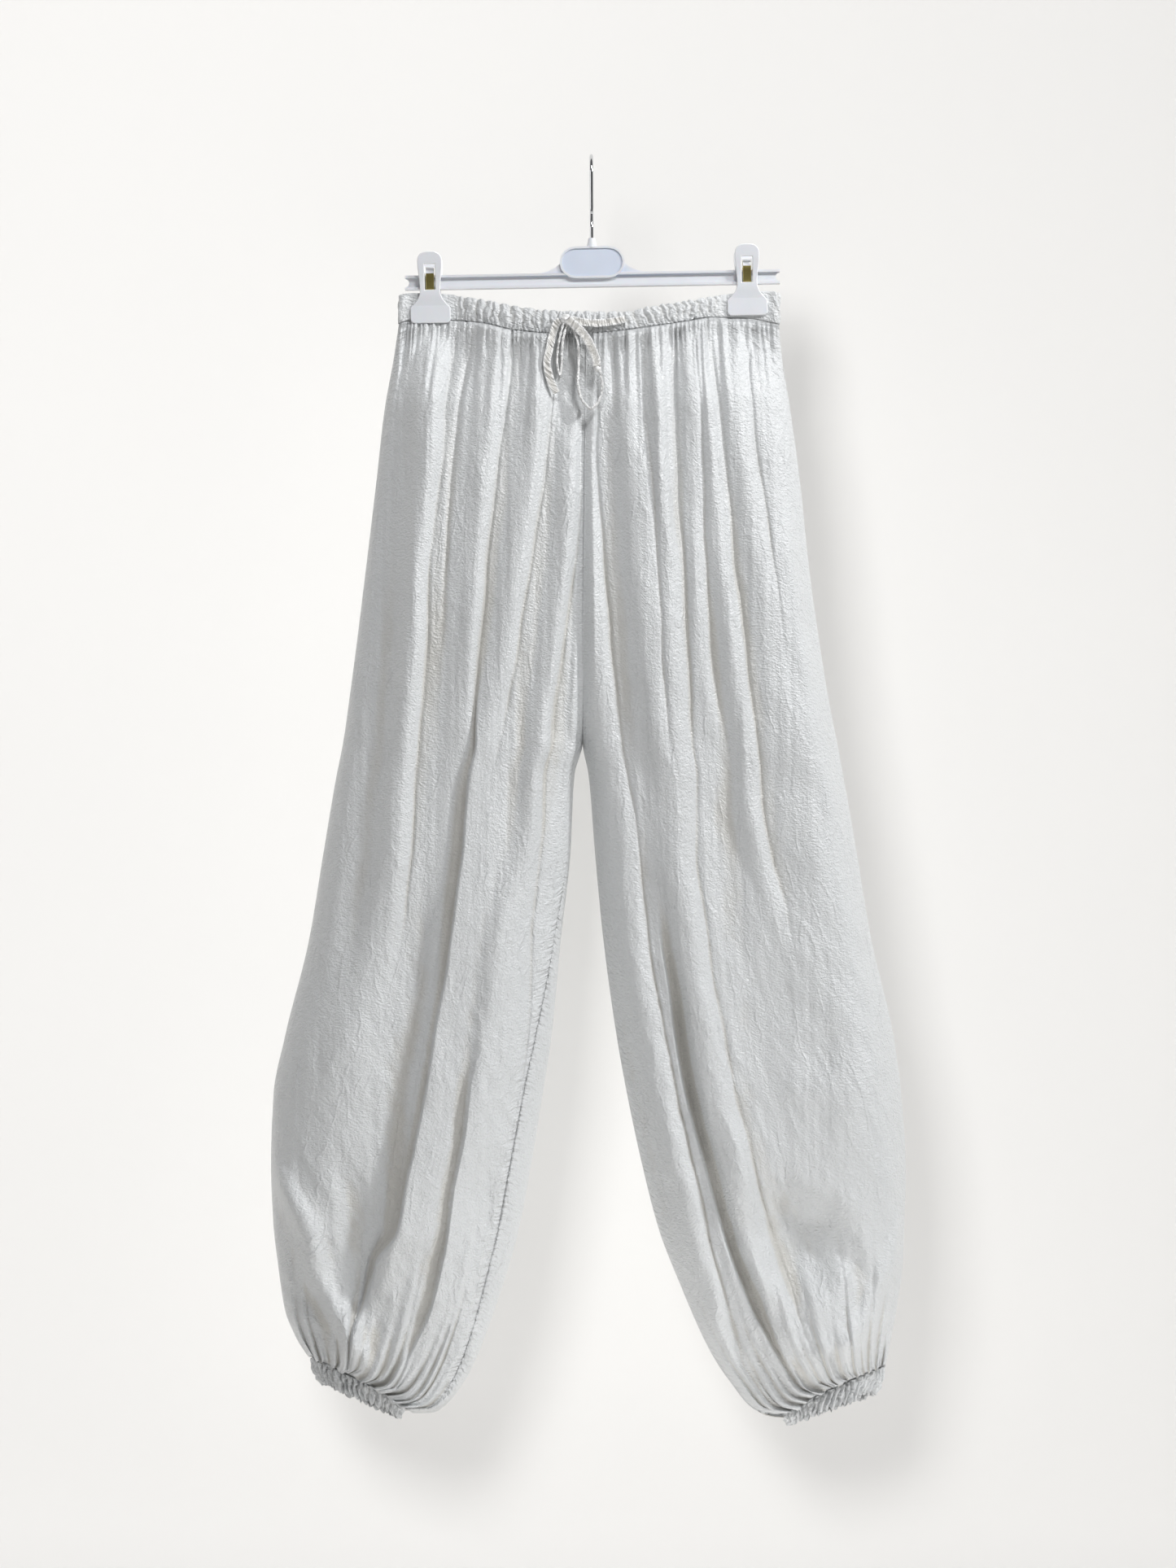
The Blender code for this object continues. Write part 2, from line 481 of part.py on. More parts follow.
def panel(name, leg, grid_size, back, collection):
    """One cut panel of a leg, front or back, from the waist seam to the cuff seam."""
    across_count, upper_count, lower_count = grid_size
    upper = FLAT_DOWN + (CROTCH_DOWN - FLAT_DOWN) * np.linspace(0.0, 1.0, upper_count - 1) ** 1.15
    upper = np.concatenate([[0.0], upper])
    spread = np.linspace(0.0, 1.0, lower_count)
    lower = CROTCH_DOWN + (leg.length - CROTCH_DOWN) * (1 - (1 - spread) ** 1.25)
    down = np.concatenate([upper, lower[1:]])[:, None]
    side = leg.wrap_place(leg.side_wrap(down))
    inseam = leg.wrap_place(leg.inseam_wrap(down))
    share = np.linspace(0.0, 1.0, across_count)[None, :]
    if back:
        start, end = 1 - inseam, 2 + side
    else:
        start, end = side, 1 - inseam
    around = start + (end - start) * share
    down = np.broadcast_to(down, around.shape)
    if back:
        around = np.where(inseam > 0, around, np.maximum(around, 1 + 1e-6))
    points = leg.point(down, around)
    lengthwise = np.gradient(points, axis=0)
    sideways = np.gradient(points, axis=1)
    inward = -leg.outward * np.cross(lengthwise, sideways)
    inward = inward / np.linalg.norm(inward, axis=-1, keepdims=True)
    for edge in (0, -1):
        inward[:, edge] = -leg.outward_at(down[:, edge], around[:, edge])
    inward[0] = level(inward[0], 2)
    inward[-1] = leg.in_ring(inward[-1], leg.length)
    rise = down[:, 0] < CROTCH_DOWN - 1
    rise_column = 0 if back else -1
    inward[rise, rise_column] = level(inward[rise, rise_column], 0)
    pull_in(points, np.s_[:, 0], np.s_[:, 1], SEAM_GAP / 2)
    pull_in(points, np.s_[:, -1], np.s_[:, -2], SEAM_GAP / 2)
    return shell(name, points, inward, CLOTH_WALL, collection)


def band_ring(count):
    """Places round the waistband, front from left to right and back again behind."""
    around = np.linspace(0.0, 2.0, count + 1)
    place = np.where(around <= 1, around, 2 - around)
    share = LEFT_LEG.share(place)
    return around, WAIST_LEFT + (WAIST_RIGHT - WAIST_LEFT) * share


def waistband(collection):
    """The gathered casing: two edges of a ring with a wave for each gather."""
    count = 2 * BAND_WAVES
    around, x = band_ring(count)
    facing = np.where(around <= 1, -1.0, 1.0)
    wave = np.where(np.arange(count + 1) % 2 == 0, -1.0, 1.0)
    held = 1 - 0.85 * pinch(x)
    nearness = smooth(np.minimum(x - WAIST_LEFT, WAIST_RIGHT - x) / 10.0)
    lean = BAND_LEAN * smooth((x + 10) / 60.0) * held * nearness
    rows = []
    for height, size, shift in ((WAIST_TOP, 1.0, -1.0), (WAIST_BOTTOM, 0.55, 0.0)):
        row_x = x + shift * lean
        y = facing * (waist_depth(x) + BAND_WAVE * size * wave * held * nearness)
        rows.append(np.stack([row_x, y, height(row_x)], axis=-1))
    points = np.array(rows)
    points[:, -1] = points[:, 0]
    ends = np.stack([np.gradient(x), np.gradient(facing * waist_depth(x)), np.zeros_like(x)], axis=-1)
    ends[0] = ends[-1] = (0.0, -1.0, 0.0)
    inward = np.cross(np.array([0.0, 0.0, 1.0]), ends)
    inward = inward / np.linalg.norm(inward, axis=-1, keepdims=True)
    inward = np.stack([inward, inward])
    return shell("waistband", points, inward, CASING_WALL, collection, closed=True)


def cuff(name, leg, collection):
    """The gathered casing at the hem: it carries the leg's own section on, with a wave for each gather."""
    count = 2 * CUFF_WAVES
    around = np.linspace(0.0, 2.0, count + 1)[None, :]
    ends = (leg.length + CUFF_GAP, leg.cuff_end)
    down, around = np.broadcast_arrays(np.array(ends)[:, None], around)
    points = leg.point(down, around)
    inward = -leg.outward_at(down, around)
    for row, end in enumerate(ends):
        inward[row] = leg.in_ring(inward[row], end)
    wave = np.where(np.arange(count + 1) % 2 == 0, -1.0, 1.0)[None, :, None]
    size = np.array([0.5, 1.0])[:, None, None] * CUFF_WAVE
    points = points - inward * wave * size
    points[:, -1] = points[:, 0]
    inward[:, -1] = inward[:, 0]
    return shell(name, points, inward, CASING_WALL, collection, closed=True)


def cloth_tree(pieces):
    """The cloth's faces, for finding how far forward it lies."""
    cloth = bmesh.new()
    for piece in pieces:
        cloth.from_mesh(piece.data)
    tree = BVHTree.FromBMesh(cloth)
    cloth.free()
    return tree


def cloth_front(tree, x, z, reach):
    """The foremost place of the cloth within a reach of a point seen from the front."""
    front = 0.0
    for step_x in (-reach, 0.0, reach):
        for step_z in (-reach, 0.0, reach):
            start = Vector((x + step_x, -300.0, z + step_z)) * MM
            hit = tree.ray_cast(start, Vector((0.0, 1.0, 0.0)))[0]
            if hit:
                front = min(front, hit.y / MM)
    return front


def route_points(rows):
    """Points along a string, a step apart, on a smooth curve through its rows."""
    rows = np.asarray(rows, float)
    legs = np.linalg.norm(np.diff(rows[:, :2], axis=0), axis=1)
    length = np.concatenate([[0.0], np.cumsum(legs)])
    count = max(3, round(length[-1] / STRING_STEP) + 1)
    along = np.linspace(0.0, length[-1], count)
    x, z, off = (spline(length, rows[:, column], along) for column in range(3))
    return x, z, off


def spline(places, values, wanted):
    """A cubic through the values whose slope at each is that of its neighbours."""
    slopes = np.gradient(values, places)
    k = np.clip(np.searchsorted(places, wanted, side="right") - 1, 0, len(places) - 2)
    h = places[k + 1] - places[k]
    t = (wanted - places[k]) / h
    start = (1 + 2 * t) * (1 - t) ** 2 * values[k] + t * (1 - t) ** 2 * h * slopes[k]
    return start + t * t * (3 - 2 * t) * values[k + 1] + t * t * (t - 1) * h * slopes[k + 1]


def string(name, way, rows, tree, collection):
    """A stretch of the flat string, lying flat on the cloth or standing on its edge."""
    x, z, off = route_points(rows)
    reach = STRING_WIDTH / 2 if way == "flat" else 1.5
    face = np.array([cloth_front(tree, a, b, reach) for a, b in zip(x, z)])
    padded = np.pad(face, 1, mode="edge")
    face = np.minimum(np.minimum(padded[:-2], padded[2:]), face)
    face = np.convolve(np.pad(face, 1, mode="edge"), np.ones(3) / 3, mode="valid")
    middle = np.stack([x, face - off, z], axis=-1)
    along = np.gradient(middle, axis=0)
    along = along / np.linalg.norm(along, axis=1, keepdims=True)
    if way == "flat":
        across = np.cross(along, np.array([0.0, -1.0, 0.0]))
        across[:, 1] = 0.0
    else:
        across = np.tile(np.array([0.0, -1.0, 0.0]), (len(x), 1))
    across = across / np.linalg.norm(across, axis=1, keepdims=True)
    out = np.cross(along, across)
    out = out / np.linalg.norm(out, axis=1, keepdims=True)
    edges = [middle + across * side * STRING_WIDTH / 2 + out * STRING_WALL / 2 for side in (-1, 0, 1)]
    points = np.stack(edges, axis=1)
    inward = np.repeat(-out[:, None, :], 3, axis=1)
    return shell(name, points, inward, STRING_WALL, collection)


def knot(name, row, tree, collection):
    """A tied lump of string."""
    x, z, off, width, depth, height = row
    face = cloth_front(tree, x, z, 3.0)
    lump = bmesh.new()
    bmesh.ops.create_uvsphere(lump, u_segments=12, v_segments=8, radius=0.5)
    bmesh.ops.scale(lump, vec=Vector((width, depth, height)) * MM, verts=lump.verts)
    bmesh.ops.translate(lump, vec=Vector((x, face - off, z)) * MM, verts=lump.verts)
    mesh = bpy.data.meshes.new(name)
    lump.to_mesh(mesh)
    lump.free()
    mesh.shade_smooth()
    return place_object(name, mesh, "cloth", collection)


def flat_outline(name, outlines, thickness, collection):
    """A plate cut from flat outlines in X and Z, as a mesh centred on the middle plane."""
    data = bpy.data.curves.new(name + "_outline", "CURVE")
    data.dimensions = "2D"
    data.fill_mode = "BOTH"
    data.extrude = thickness / 2 * MM
    for outline in outlines:
        line = data.splines.new("POLY")
        line.points.add(len(outline) - 1)
        for point, (x, z) in zip(line.points, outline):
            point.co = (x * MM, z * MM, 0.0, 1.0)
        line.use_cyclic_u = True
    made = bpy.data.objects.new(name + "_outline", data)
    collection.objects.link(made)
    bpy.context.view_layer.update()
    seen = made.evaluated_get(bpy.context.evaluated_depsgraph_get())
    mesh = bpy.data.meshes.new_from_object(seen)
    bpy.data.objects.remove(made)
    bpy.data.curves.remove(data)
    plate = bmesh.new()
    plate.from_mesh(mesh)
    bmesh.ops.remove_doubles(plate, verts=plate.verts, dist=1e-6)
    bmesh.ops.rotate(plate, cent=Vector(), matrix=Matrix.Rotation(math.pi / 2, 3, "X"), verts=plate.verts)
    plate.to_mesh(mesh)
    plate.free()
    mesh.name = name
    return mesh


def arc(centre_x, centre_z, radius, first, last, steps):
    """Points on an arc, angles in degrees from +X towards +Z."""
    angles = [math.radians(first + (last - first) * k / steps) for k in range(steps + 1)]
    return [(centre_x + radius * math.cos(a), centre_z + radius * math.sin(a)) for a in angles]


def bar_part(name, mesh, cutters):
    """A piece that is joined to the bar, or cut from it."""
    made = bpy.data.objects.new(name, mesh)
    cutters.objects.link(made)
    made.hide_render = True
    made.display_type = "WIRE"
    return made


def combine(target, other, operation):
    """Join a piece to the target, or cut it away."""
    change = target.modifiers.new(other.name, "BOOLEAN")
    change.operation = operation
    change.solver = "EXACT"
    change.object = other


def box_mesh(name, size, centre):
    made = bmesh.new()
    bmesh.ops.create_cube(made, size=1.0)
    bmesh.ops.scale(made, vec=Vector(size) * MM, verts=made.verts)
    bmesh.ops.translate(made, vec=Vector(centre) * MM, verts=made.verts)
    mesh = bpy.data.meshes.new(name)
    made.to_mesh(mesh)
    made.free()
    return mesh


def cylinder_mesh(name, bottom_radius, top_radius, depth, centre, turn=None, sides=24):
    made = bmesh.new()
    bmesh.ops.create_cone(made, cap_ends=True, segments=sides, radius1=bottom_radius * MM,
                          radius2=top_radius * MM, depth=depth * MM)
    if turn:
        bmesh.ops.rotate(made, cent=Vector(), matrix=Matrix.Rotation(math.pi / 2, 3, turn), verts=made.verts)
    bmesh.ops.translate(made, vec=Vector(centre) * MM, verts=made.verts)
    mesh = bpy.data.meshes.new(name)
    made.to_mesh(mesh)
    made.free()
    return mesh


def stadium(width, height, steps=8):
    """Outline with two straight sides and two round ends, round the origin."""
    radius = height / 2
    reach = width / 2 - radius
    return arc(reach, 0, radius, -90, 90, steps) + arc(-reach, 0, radius, 90, 270, steps)


def moved(outline, x, z):
    return [(a + x, b + z) for a, b in outline]


def wing_outline(side):
    """The web that sweeps from the plate down to the bar."""
    inner = PLATE_WIDTH / 2 - PLATE_HEIGHT / 2
    low = BAR_HEIGHT / 2 - 1.0
    outer = PLATE_WIDTH / 2 + WING_REACH
    sweep = []
    for k in range(8):
        t = k / 7
        sweep.append((inner + 10 + (outer - inner - 10) * t, low + WING_RISE * (1 - t) ** 2.2 + 0.8))
    outline = [(inner, low)] + [(outer, low)] + sweep[::-1] + [(inner, low + WING_RISE)]
    return [(side * x, z) for x, z in outline]


def hanger_bar(collection, cutters):
    """The moulded bar: web, two rails, oval plate with a rim, two wings and the boss for the hook."""
    mesh = box_mesh("hanger_bar", (BAR_LENGTH, BAR_WEB, BAR_HEIGHT - 0.6), (0, 0, 0))
    bar = place_object("hanger_bar", mesh, "plastic", collection)
    for side, name in ((1, "top"), (-1, "bottom")):
        centre = (0, 0, side * (BAR_HEIGHT - BAR_RAIL) / 2)
        rail = bar_part("rail_" + name, box_mesh("rail", (BAR_LENGTH + 0.4, BAR_DEPTH, BAR_RAIL), centre), cutters)
        combine(bar, rail, "UNION")
    for side, name in ((1, "right"), (-1, "left")):
        wing = flat_outline("wing_" + name, [wing_outline(side)], WING_DEPTH, cutters)
        combine(bar, bar_part("wing_" + name, wing, cutters), "UNION")
    plate = flat_outline("plate", [moved(stadium(PLATE_WIDTH, PLATE_HEIGHT), 0, PLATE_RISE)], BAR_DEPTH + 0.6, cutters)
    combine(bar, bar_part("plate", plate, cutters), "UNION")
    boss_bottom = PLATE_RISE + PLATE_HEIGHT / 2 - 1.0
    boss_top = BOSS_TOP_Z - BAR_CENTRE.z
    boss = cylinder_mesh("boss", BOSS_WIDTH / 2, BOSS_TOP_WIDTH / 2, boss_top - boss_bottom,
                         (0, 0, (boss_top + boss_bottom) / 2))
    combine(bar, bar_part("boss", boss, cutters), "UNION")
    inset = stadium(PLATE_WIDTH - 2 * PLATE_RIM, PLATE_HEIGHT - 2 * PLATE_RIM)
    for side, name in ((-1, "front"), (1, "back")):
        recess = flat_outline("recess_" + name, [moved(inset, 0, PLATE_RISE)], 2 * PLATE_RECESS, cutters)
        piece = bar_part("recess_" + name, recess, cutters)
        piece.data.transform(Matrix.Translation(Vector((0, side * (BAR_DEPTH + 0.6) / 2, 0)) * MM))
        combine(bar, piece, "DIFFERENCE")
        notch = cylinder_mesh("notch", NOTCH_RADIUS, NOTCH_RADIUS, 3 * BAR_DEPTH,
                              (side * (BAR_LENGTH / 2 + 0.5), 0, 0), turn="X")
        combine(bar, bar_part("notch_" + name, notch, cutters), "DIFFERENCE")
    bore = cylinder_mesh("bore", WIRE_RADIUS + SEAT_GAP, WIRE_RADIUS + SEAT_GAP, 2 * BORE_DEPTH, (0, 0, boss_top))
    combine(bar, bar_part("bore", bore, cutters), "DIFFERENCE")
    place = Matrix.Translation(BAR_CENTRE * MM) @ Matrix.Rotation(-TILT, 4, "Y")
    for piece in [bar] + [change.object for change in bar.modifiers]:
        piece.data.transform(place)
    return bar


def hanger_hook(collection):
    """The chrome wire: a stem out of the boss, bent back, then over the rail and down in front."""
    radius = HOOK_RADIUS
    top = WIRE_RADIUS - radius
    boss_x = BAR_CENTRE.x - math.tan(TILT) * (BOSS_TOP_Z - BAR_CENTRE.z)
    foot = BOSS_TOP_Z - BORE_DEPTH + SEAT_GAP
    lean = boss_x / (BOSS_TOP_Z - WIRE_RADIUS)
    route = [(0.0, foot), (0.0, BOSS_TOP_Z), (0.0, BOSS_TOP_Z + 8)]
    for k in range(1, 8):
        t = k / 8
        route.append((radius * float(smooth(t)), BOSS_TOP_Z + 8 + (HOOK_STEM_BEND_Z + 16 - BOSS_TOP_Z) * t))
    route += [(radius * math.cos(a), top + radius * math.sin(a)) for a in np.linspace(0, math.pi, 17)]
    route += [(-radius, -30.0), (-radius - 0.4, -42.0), (-radius - 2.0, HOOK_TIP_Z)]
    data = bpy.data.curves.new("hanger_hook_wire", "CURVE")
    data.dimensions = "3D"
    data.bevel_depth = WIRE_RADIUS * MM
    data.bevel_resolution = 2
    data.use_fill_caps = True
    line = data.splines.new("POLY")
    line.points.add(len(route) - 1)
    for point, (y, z) in zip(line.points, route):
        point.co = (lean * (z - WIRE_RADIUS) * MM, y * MM, z * MM, 1.0)
    wire = bpy.data.objects.new("hanger_hook_wire", data)
    collection.objects.link(wire)
    bpy.context.view_layer.update()
    mesh = bpy.data.meshes.new_from_object(wire.evaluated_get(bpy.context.evaluated_depsgraph_get()))
    bpy.data.objects.remove(wire)
    tube = bmesh.new()
    tube.from_mesh(mesh)
    bmesh.ops.remove_doubles(tube, verts=tube.verts, dist=1e-6)
    tube.to_mesh(mesh)
    tube.free()
    mesh.materials.clear()
    mesh.name = "hanger_hook"
    mesh.shade_smooth()
    return place_object("hanger_hook", mesh, "chrome", collection)


def clip_outline():
    """Front view of a jaw, round at the top and wide at the pad, with its top at zero."""
    right = arc(CLIP_TOP_HALF - CLIP_TOP_ROUND, -CLIP_TOP_ROUND, CLIP_TOP_ROUND, 90, 0, 5)
    right += [(half, -below) for half, below in CLIP_SIDE]
    right += arc(CLIP_PAD_HALF - CLIP_PAD_ROUND, CLIP_PAD_ROUND - CLIP_HEIGHT, CLIP_PAD_ROUND, 0, -90, 4)
    return right + [(-x, z) for x, z in reversed(right)]


def jaw(name, centre_x, top_z, side, collection):
    """One jaw of a clip: a plate with a window, bent so that its pad meets the cloth."""
    half, window_top, window_bottom = CLIP_WINDOW
    window = [(-half, -window_top), (half, -window_top), (half, -window_bottom), (-half, -window_bottom)]
    mesh = flat_outline(name, [clip_outline(), window], CLIP_WALL, collection)
    bend = Curve([row[0] for row in CLIP_BEND], [row[1] for row in CLIP_BEND])
    plate = bmesh.new()
    plate.from_mesh(mesh)
    for below, distance in CLIP_BEND[1:-1]:
        everything = plate.verts[:] + plate.edges[:] + plate.faces[:]
        bmesh.ops.bisect_plane(plate, geom=everything, dist=1e-7, plane_co=(0, 0, -below * MM), plane_no=(0, 0, 1))
    for vertex in plate.verts:
        inner_face = float(bend(-vertex.co.z / MM))
        vertex.co.y += side * (inner_face + CLIP_WALL / 2) * MM
    place = Matrix.Translation(Vector((centre_x, 0, top_z)) * MM)
    place = place @ Matrix.Rotation(-TILT, 4, "Y")
    bmesh.ops.transform(plate, matrix=place, verts=plate.verts)
    bmesh.ops.recalc_face_normals(plate, faces=plate.faces)
    plate.to_mesh(mesh)
    plate.free()
    return place_object(name, mesh, "plastic", collection)


def spring(name, centre_x, top_z, collection):
    """The flat spring: an arch over the bar whose legs stand in the jaws' windows."""
    half, window_top, window_bottom = CLIP_WINDOW
    foot = window_bottom - SEAT_GAP
    side = [(-6.6, -foot), (-5.9, -foot + 5), (-6.2, -24.0), (-6.4, -19.5), (-4.6, -SPRING_ARCH_TOP - 1.4)]
    crown = [(0.0, -SPRING_ARCH_TOP)]
    path = np.array(side + crown + [(-y, z) for y, z in reversed(side)])
    along = np.gradient(path, axis=0)
    along = along / np.linalg.norm(along, axis=1, keepdims=True)
    out = np.stack([-along[:, 1], along[:, 0]], axis=-1)
    points = np.zeros((len(path), 2, 3))
    inward = np.zeros_like(points)
    for column, x in enumerate((-SPRING_WIDTH / 2, SPRING_WIDTH / 2)):
        points[:, column, 0] = x
        points[:, column, 1:] = path + out * SPRING_WALL / 2
        inward[:, column, 1:] = -out
    turned = Matrix.Rotation(-TILT, 3, "Y")
    place = Vector((centre_x, 0, top_z))
    for index in np.ndindex(points.shape[:2]):
        points[index] = turned @ Vector(points[index]) + place
        inward[index] = turned @ Vector(inward[index])
    made = shell(name, points, inward, SPRING_WALL, collection)
    made.data.materials.clear()
    made.data.materials.append(material("brass"))
    return made


def build():
    for old in list(bpy.data.objects):
        bpy.data.objects.remove(old)
    scene = bpy.context.scene
    pieces = bpy.data.collections.new("balloon_pants_on_hanger")
    cutters = bpy.data.collections.new("cutters")
    scene.collection.children.link(pieces)
    scene.collection.children.link(cutters)
    fronts = [panel("front_left", LEFT_LEG, FRONT_GRID, False, pieces)]
    fronts.append(panel("front_right", RIGHT_LEG, FRONT_GRID, False, pieces))
    panel("back_left", LEFT_LEG, BACK_GRID, True, pieces)
    panel("back_right", RIGHT_LEG, BACK_GRID, True, pieces)
    fronts.append(waistband(pieces))
    cuff("cuff_left", LEFT_LEG, pieces)
    cuff("cuff_right", RIGHT_LEG, pieces)
    tree = cloth_tree(fronts)
    for name, (way, rows) in STRINGS.items():
        string(name, way, rows, tree, pieces)
    for name, row in KNOTS.items():
        knot(name, row, tree, pieces)
    hanger_bar(pieces, cutters)
    hanger_hook(pieces)
    for name, (centre_x, top_z) in CLIPS.items():
        jaw(name + "_front", centre_x, top_z, -1, pieces)
        jaw(name + "_back", centre_x, top_z, 1, pieces)
        spring(name + "_spring", centre_x, top_z, pieces)


build()
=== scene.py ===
"""Balloon pants on a clip hanger: cloth, drawstring, hanger, clips and a plain studio.

Sizes in the tables are in millimetres. The frame is in metres, with X to the right as the front is
seen, -Y towards the viewer and +Z up.
"""

import logging
import math
from dataclasses import dataclass
from enum import Enum

import bmesh
import bpy
import numpy as np
from bpy.types import Material, Mesh, Node, NodeSocket, Object, ShaderNodeTree
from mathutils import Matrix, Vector
from mathutils.bvhtree import BVHTree


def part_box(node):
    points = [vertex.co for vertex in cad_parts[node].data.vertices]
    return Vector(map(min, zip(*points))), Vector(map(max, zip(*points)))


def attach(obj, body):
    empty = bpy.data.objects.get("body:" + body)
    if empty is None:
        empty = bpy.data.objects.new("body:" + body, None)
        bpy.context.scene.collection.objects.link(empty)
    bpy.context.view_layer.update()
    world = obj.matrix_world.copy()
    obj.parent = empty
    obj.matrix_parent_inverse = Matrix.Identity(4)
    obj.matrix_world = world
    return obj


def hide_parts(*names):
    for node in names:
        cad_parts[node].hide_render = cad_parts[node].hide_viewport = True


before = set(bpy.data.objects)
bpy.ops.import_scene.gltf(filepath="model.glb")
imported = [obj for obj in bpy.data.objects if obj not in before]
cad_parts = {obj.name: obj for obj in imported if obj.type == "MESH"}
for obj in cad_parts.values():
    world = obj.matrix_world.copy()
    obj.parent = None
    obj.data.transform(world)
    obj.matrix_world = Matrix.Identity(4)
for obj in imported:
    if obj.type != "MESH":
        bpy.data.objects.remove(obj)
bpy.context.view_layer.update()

LOG = logging.getLogger("balloon_pants")
MM = 0.001
Table = tuple[tuple[float, ...], ...]
Pair = tuple[float, float]
Triple = tuple[float, float, float]
Array = np.ndarray

# One row for a ring round the leg: down the cloth, outer x and z, inner x and z, depth of the front and
# of the back, depth at the rise seam, share of the width in each rounded end.
LEFT_RINGS: Table = (
    (0, -177.4, -155.2, -4.7, -163.1, 14, 14, 14, 0.14),
    (28, -181.5, -182.2, -4.7, -191.2, 19, 17, 17, 0.18),
    (77, -190.5, -231.8, -5.0, -239.2, 25, 22, 21, 0.22),
    (145, -198.4, -300.8, -5.8, -306.8, 30, 26, 24, 0.26),
    (223, -207.8, -379.5, -6.8, -384.0, 34, 29, 25, 0.28),
    (298, -217.1, -454.5, -7.3, -457.5, 36, 31, 24, 0.30),
    (345, -223.5, -502.5, -7.7, -503.2, 37, 32, 20, 0.30),
    (369, -226.9, -527.2, -7.9, -528.0, 38, 32, 12, 0.30),
    (382, -229.1, -540.8, -7.9, -539.2, 38, 32, 0, 0.30),
    (412, -235.1, -570.8, -15.4, -568.5, 38, 33, 0, 0.30),
    (484, -247.1, -642.0, -19.1, -640.5, 40, 34, 0, 0.32),
    (563, -260.2, -720.8, -27.8, -718.5, 43, 36, 0, 0.34),
    (656, -282.4, -810.0, -36.8, -810.8, 47, 39, 0, 0.36),
    (711, -292.9, -863.2, -45.4, -867.0, 50, 41, 0, 0.38),
    (777, -295.1, -927.8, -56.6, -934.5, 51, 42, 0, 0.40),
    (831, -293.2, -979.5, -67.1, -989.2, 50, 41, 0, 0.42),
    (872, -289.1, -1017.0, -79.9, -1034.2, 46, 39, 0, 0.44),
    (920, -282.4, -1058.2, -99.4, -1086.8, 38, 34, 0, 0.46),
    (949, -272.6, -1078.5, -119.6, -1123.5, 31, 29, 0, 0.48),
    (966, -263.6, -1090.5, -145.1, -1143.0, 25, 25, 0, 0.50),
    (978, -257.6, -1099.5, -172.1, -1143.8, 20, 20, 0, 0.50),
    (995, -248.6, -1122.8, -177.4, -1155.0, 18, 18, 0, 0.50),
)
RIGHT_RINGS: Table = (
    (0, 173.2, -153.8, -4.7, -163.1, 14, 14, 14, 0.14),
    (28, 175.5, -181.5, -4.7, -191.2, 19, 17, 17, 0.18),
    (77, 183.0, -229.5, -5.0, -239.2, 25, 22, 21, 0.22),
    (145, 192.8, -302.2, -5.8, -306.8, 30, 26, 24, 0.26),
    (223, 201.0, -379.5, -6.8, -384.0, 34, 29, 25, 0.28),
    (298, 211.5, -454.5, -7.3, -457.5, 36, 31, 24, 0.30),
    (345, 219.4, -502.5, -7.7, -503.2, 37, 32, 20, 0.30),
    (369, 224.2, -527.2, -7.9, -528.0, 38, 32, 12, 0.30),
    (382, 226.5, -538.5, -7.9, -539.2, 38, 32, 0, 0.30),
    (412, 232.1, -568.5, -2.6, -568.5, 38, 33, 0, 0.30),
    (485, 244.9, -642.0, 3.4, -640.5, 40, 34, 0, 0.32),
    (562, 257.6, -717.8, 10.9, -718.5, 43, 36, 0, 0.34),
    (656, 278.6, -810.0, 23.6, -810.8, 47, 39, 0, 0.36),
    (713, 286.1, -867.0, 33.8, -867.0, 50, 41, 0, 0.38),
    (782, 289.9, -934.5, 48.4, -934.5, 51, 42, 0, 0.40),
    (831, 288.4, -979.5, 62.6, -988.5, 50, 41, 0, 0.42),
    (876, 286.9, -1020.8, 80.6, -1035.0, 46, 39, 0, 0.44),
    (922, 281.6, -1058.2, 103.9, -1086.8, 38, 34, 0, 0.46),
    (952, 276.4, -1080.8, 127.9, -1122.0, 31, 29, 0, 0.48),
    (975, 272.6, -1096.5, 154.9, -1146.0, 25, 25, 0, 0.50),
    (988, 269.6, -1107.8, 178.9, -1149.8, 20, 20, 0, 0.50),
    (1007, 260.6, -1132.5, 181.1, -1161.8, 18, 18, 0, 0.50),
)
# Share of the width that the back panel wraps round to the front: down, at the side, at the inseam.
LEFT_WRAP: Table = (
    (0, 0.008, 0.0), (60, 0.018, 0.0), (180, 0.004, 0.0), (382, 0.001, 0.0), (552, 0.001, 0.023),
    (691, 0.001, 0.070), (845, 0.001, 0.085), (978, 0.001, 0.050),
)
RIGHT_WRAP: Table = ((0, 0.001, 0.0), (382, 0.001, 0.0), (552, 0.001, 0.002), (988, 0.001, 0.002))
# The waistband: x, top z, bottom z, half the depth between its two layers.
WAIST: Table = (
    (-177.4, -127.5, -152.9, 4.6), (-166.1, -126.0, -149.9, 1.3), (-148.9, -126.0, -149.2, 1.2),
    (-129.0, -127.4, -149.7, 1.3), (-98.6, -132.5, -153.4, 8.0), (-72.4, -138.0, -159.8, 11.0),
    (-42.4, -142.5, -162.8, 13.0), (-4.7, -144.1, -163.1, 14.0), (28.9, -143.7, -160.5, 13.5),
    (56.6, -138.6, -156.4, 12.0), (87.4, -133.2, -151.6, 9.0), (113.6, -128.6, -147.0, 3.4),
    (126.0, -127.0, -147.0, 1.3), (142.9, -125.2, -147.5, 1.2), (160.1, -124.0, -150.5, 1.3),
    (173.2, -124.8, -153.8, 4.6),
)
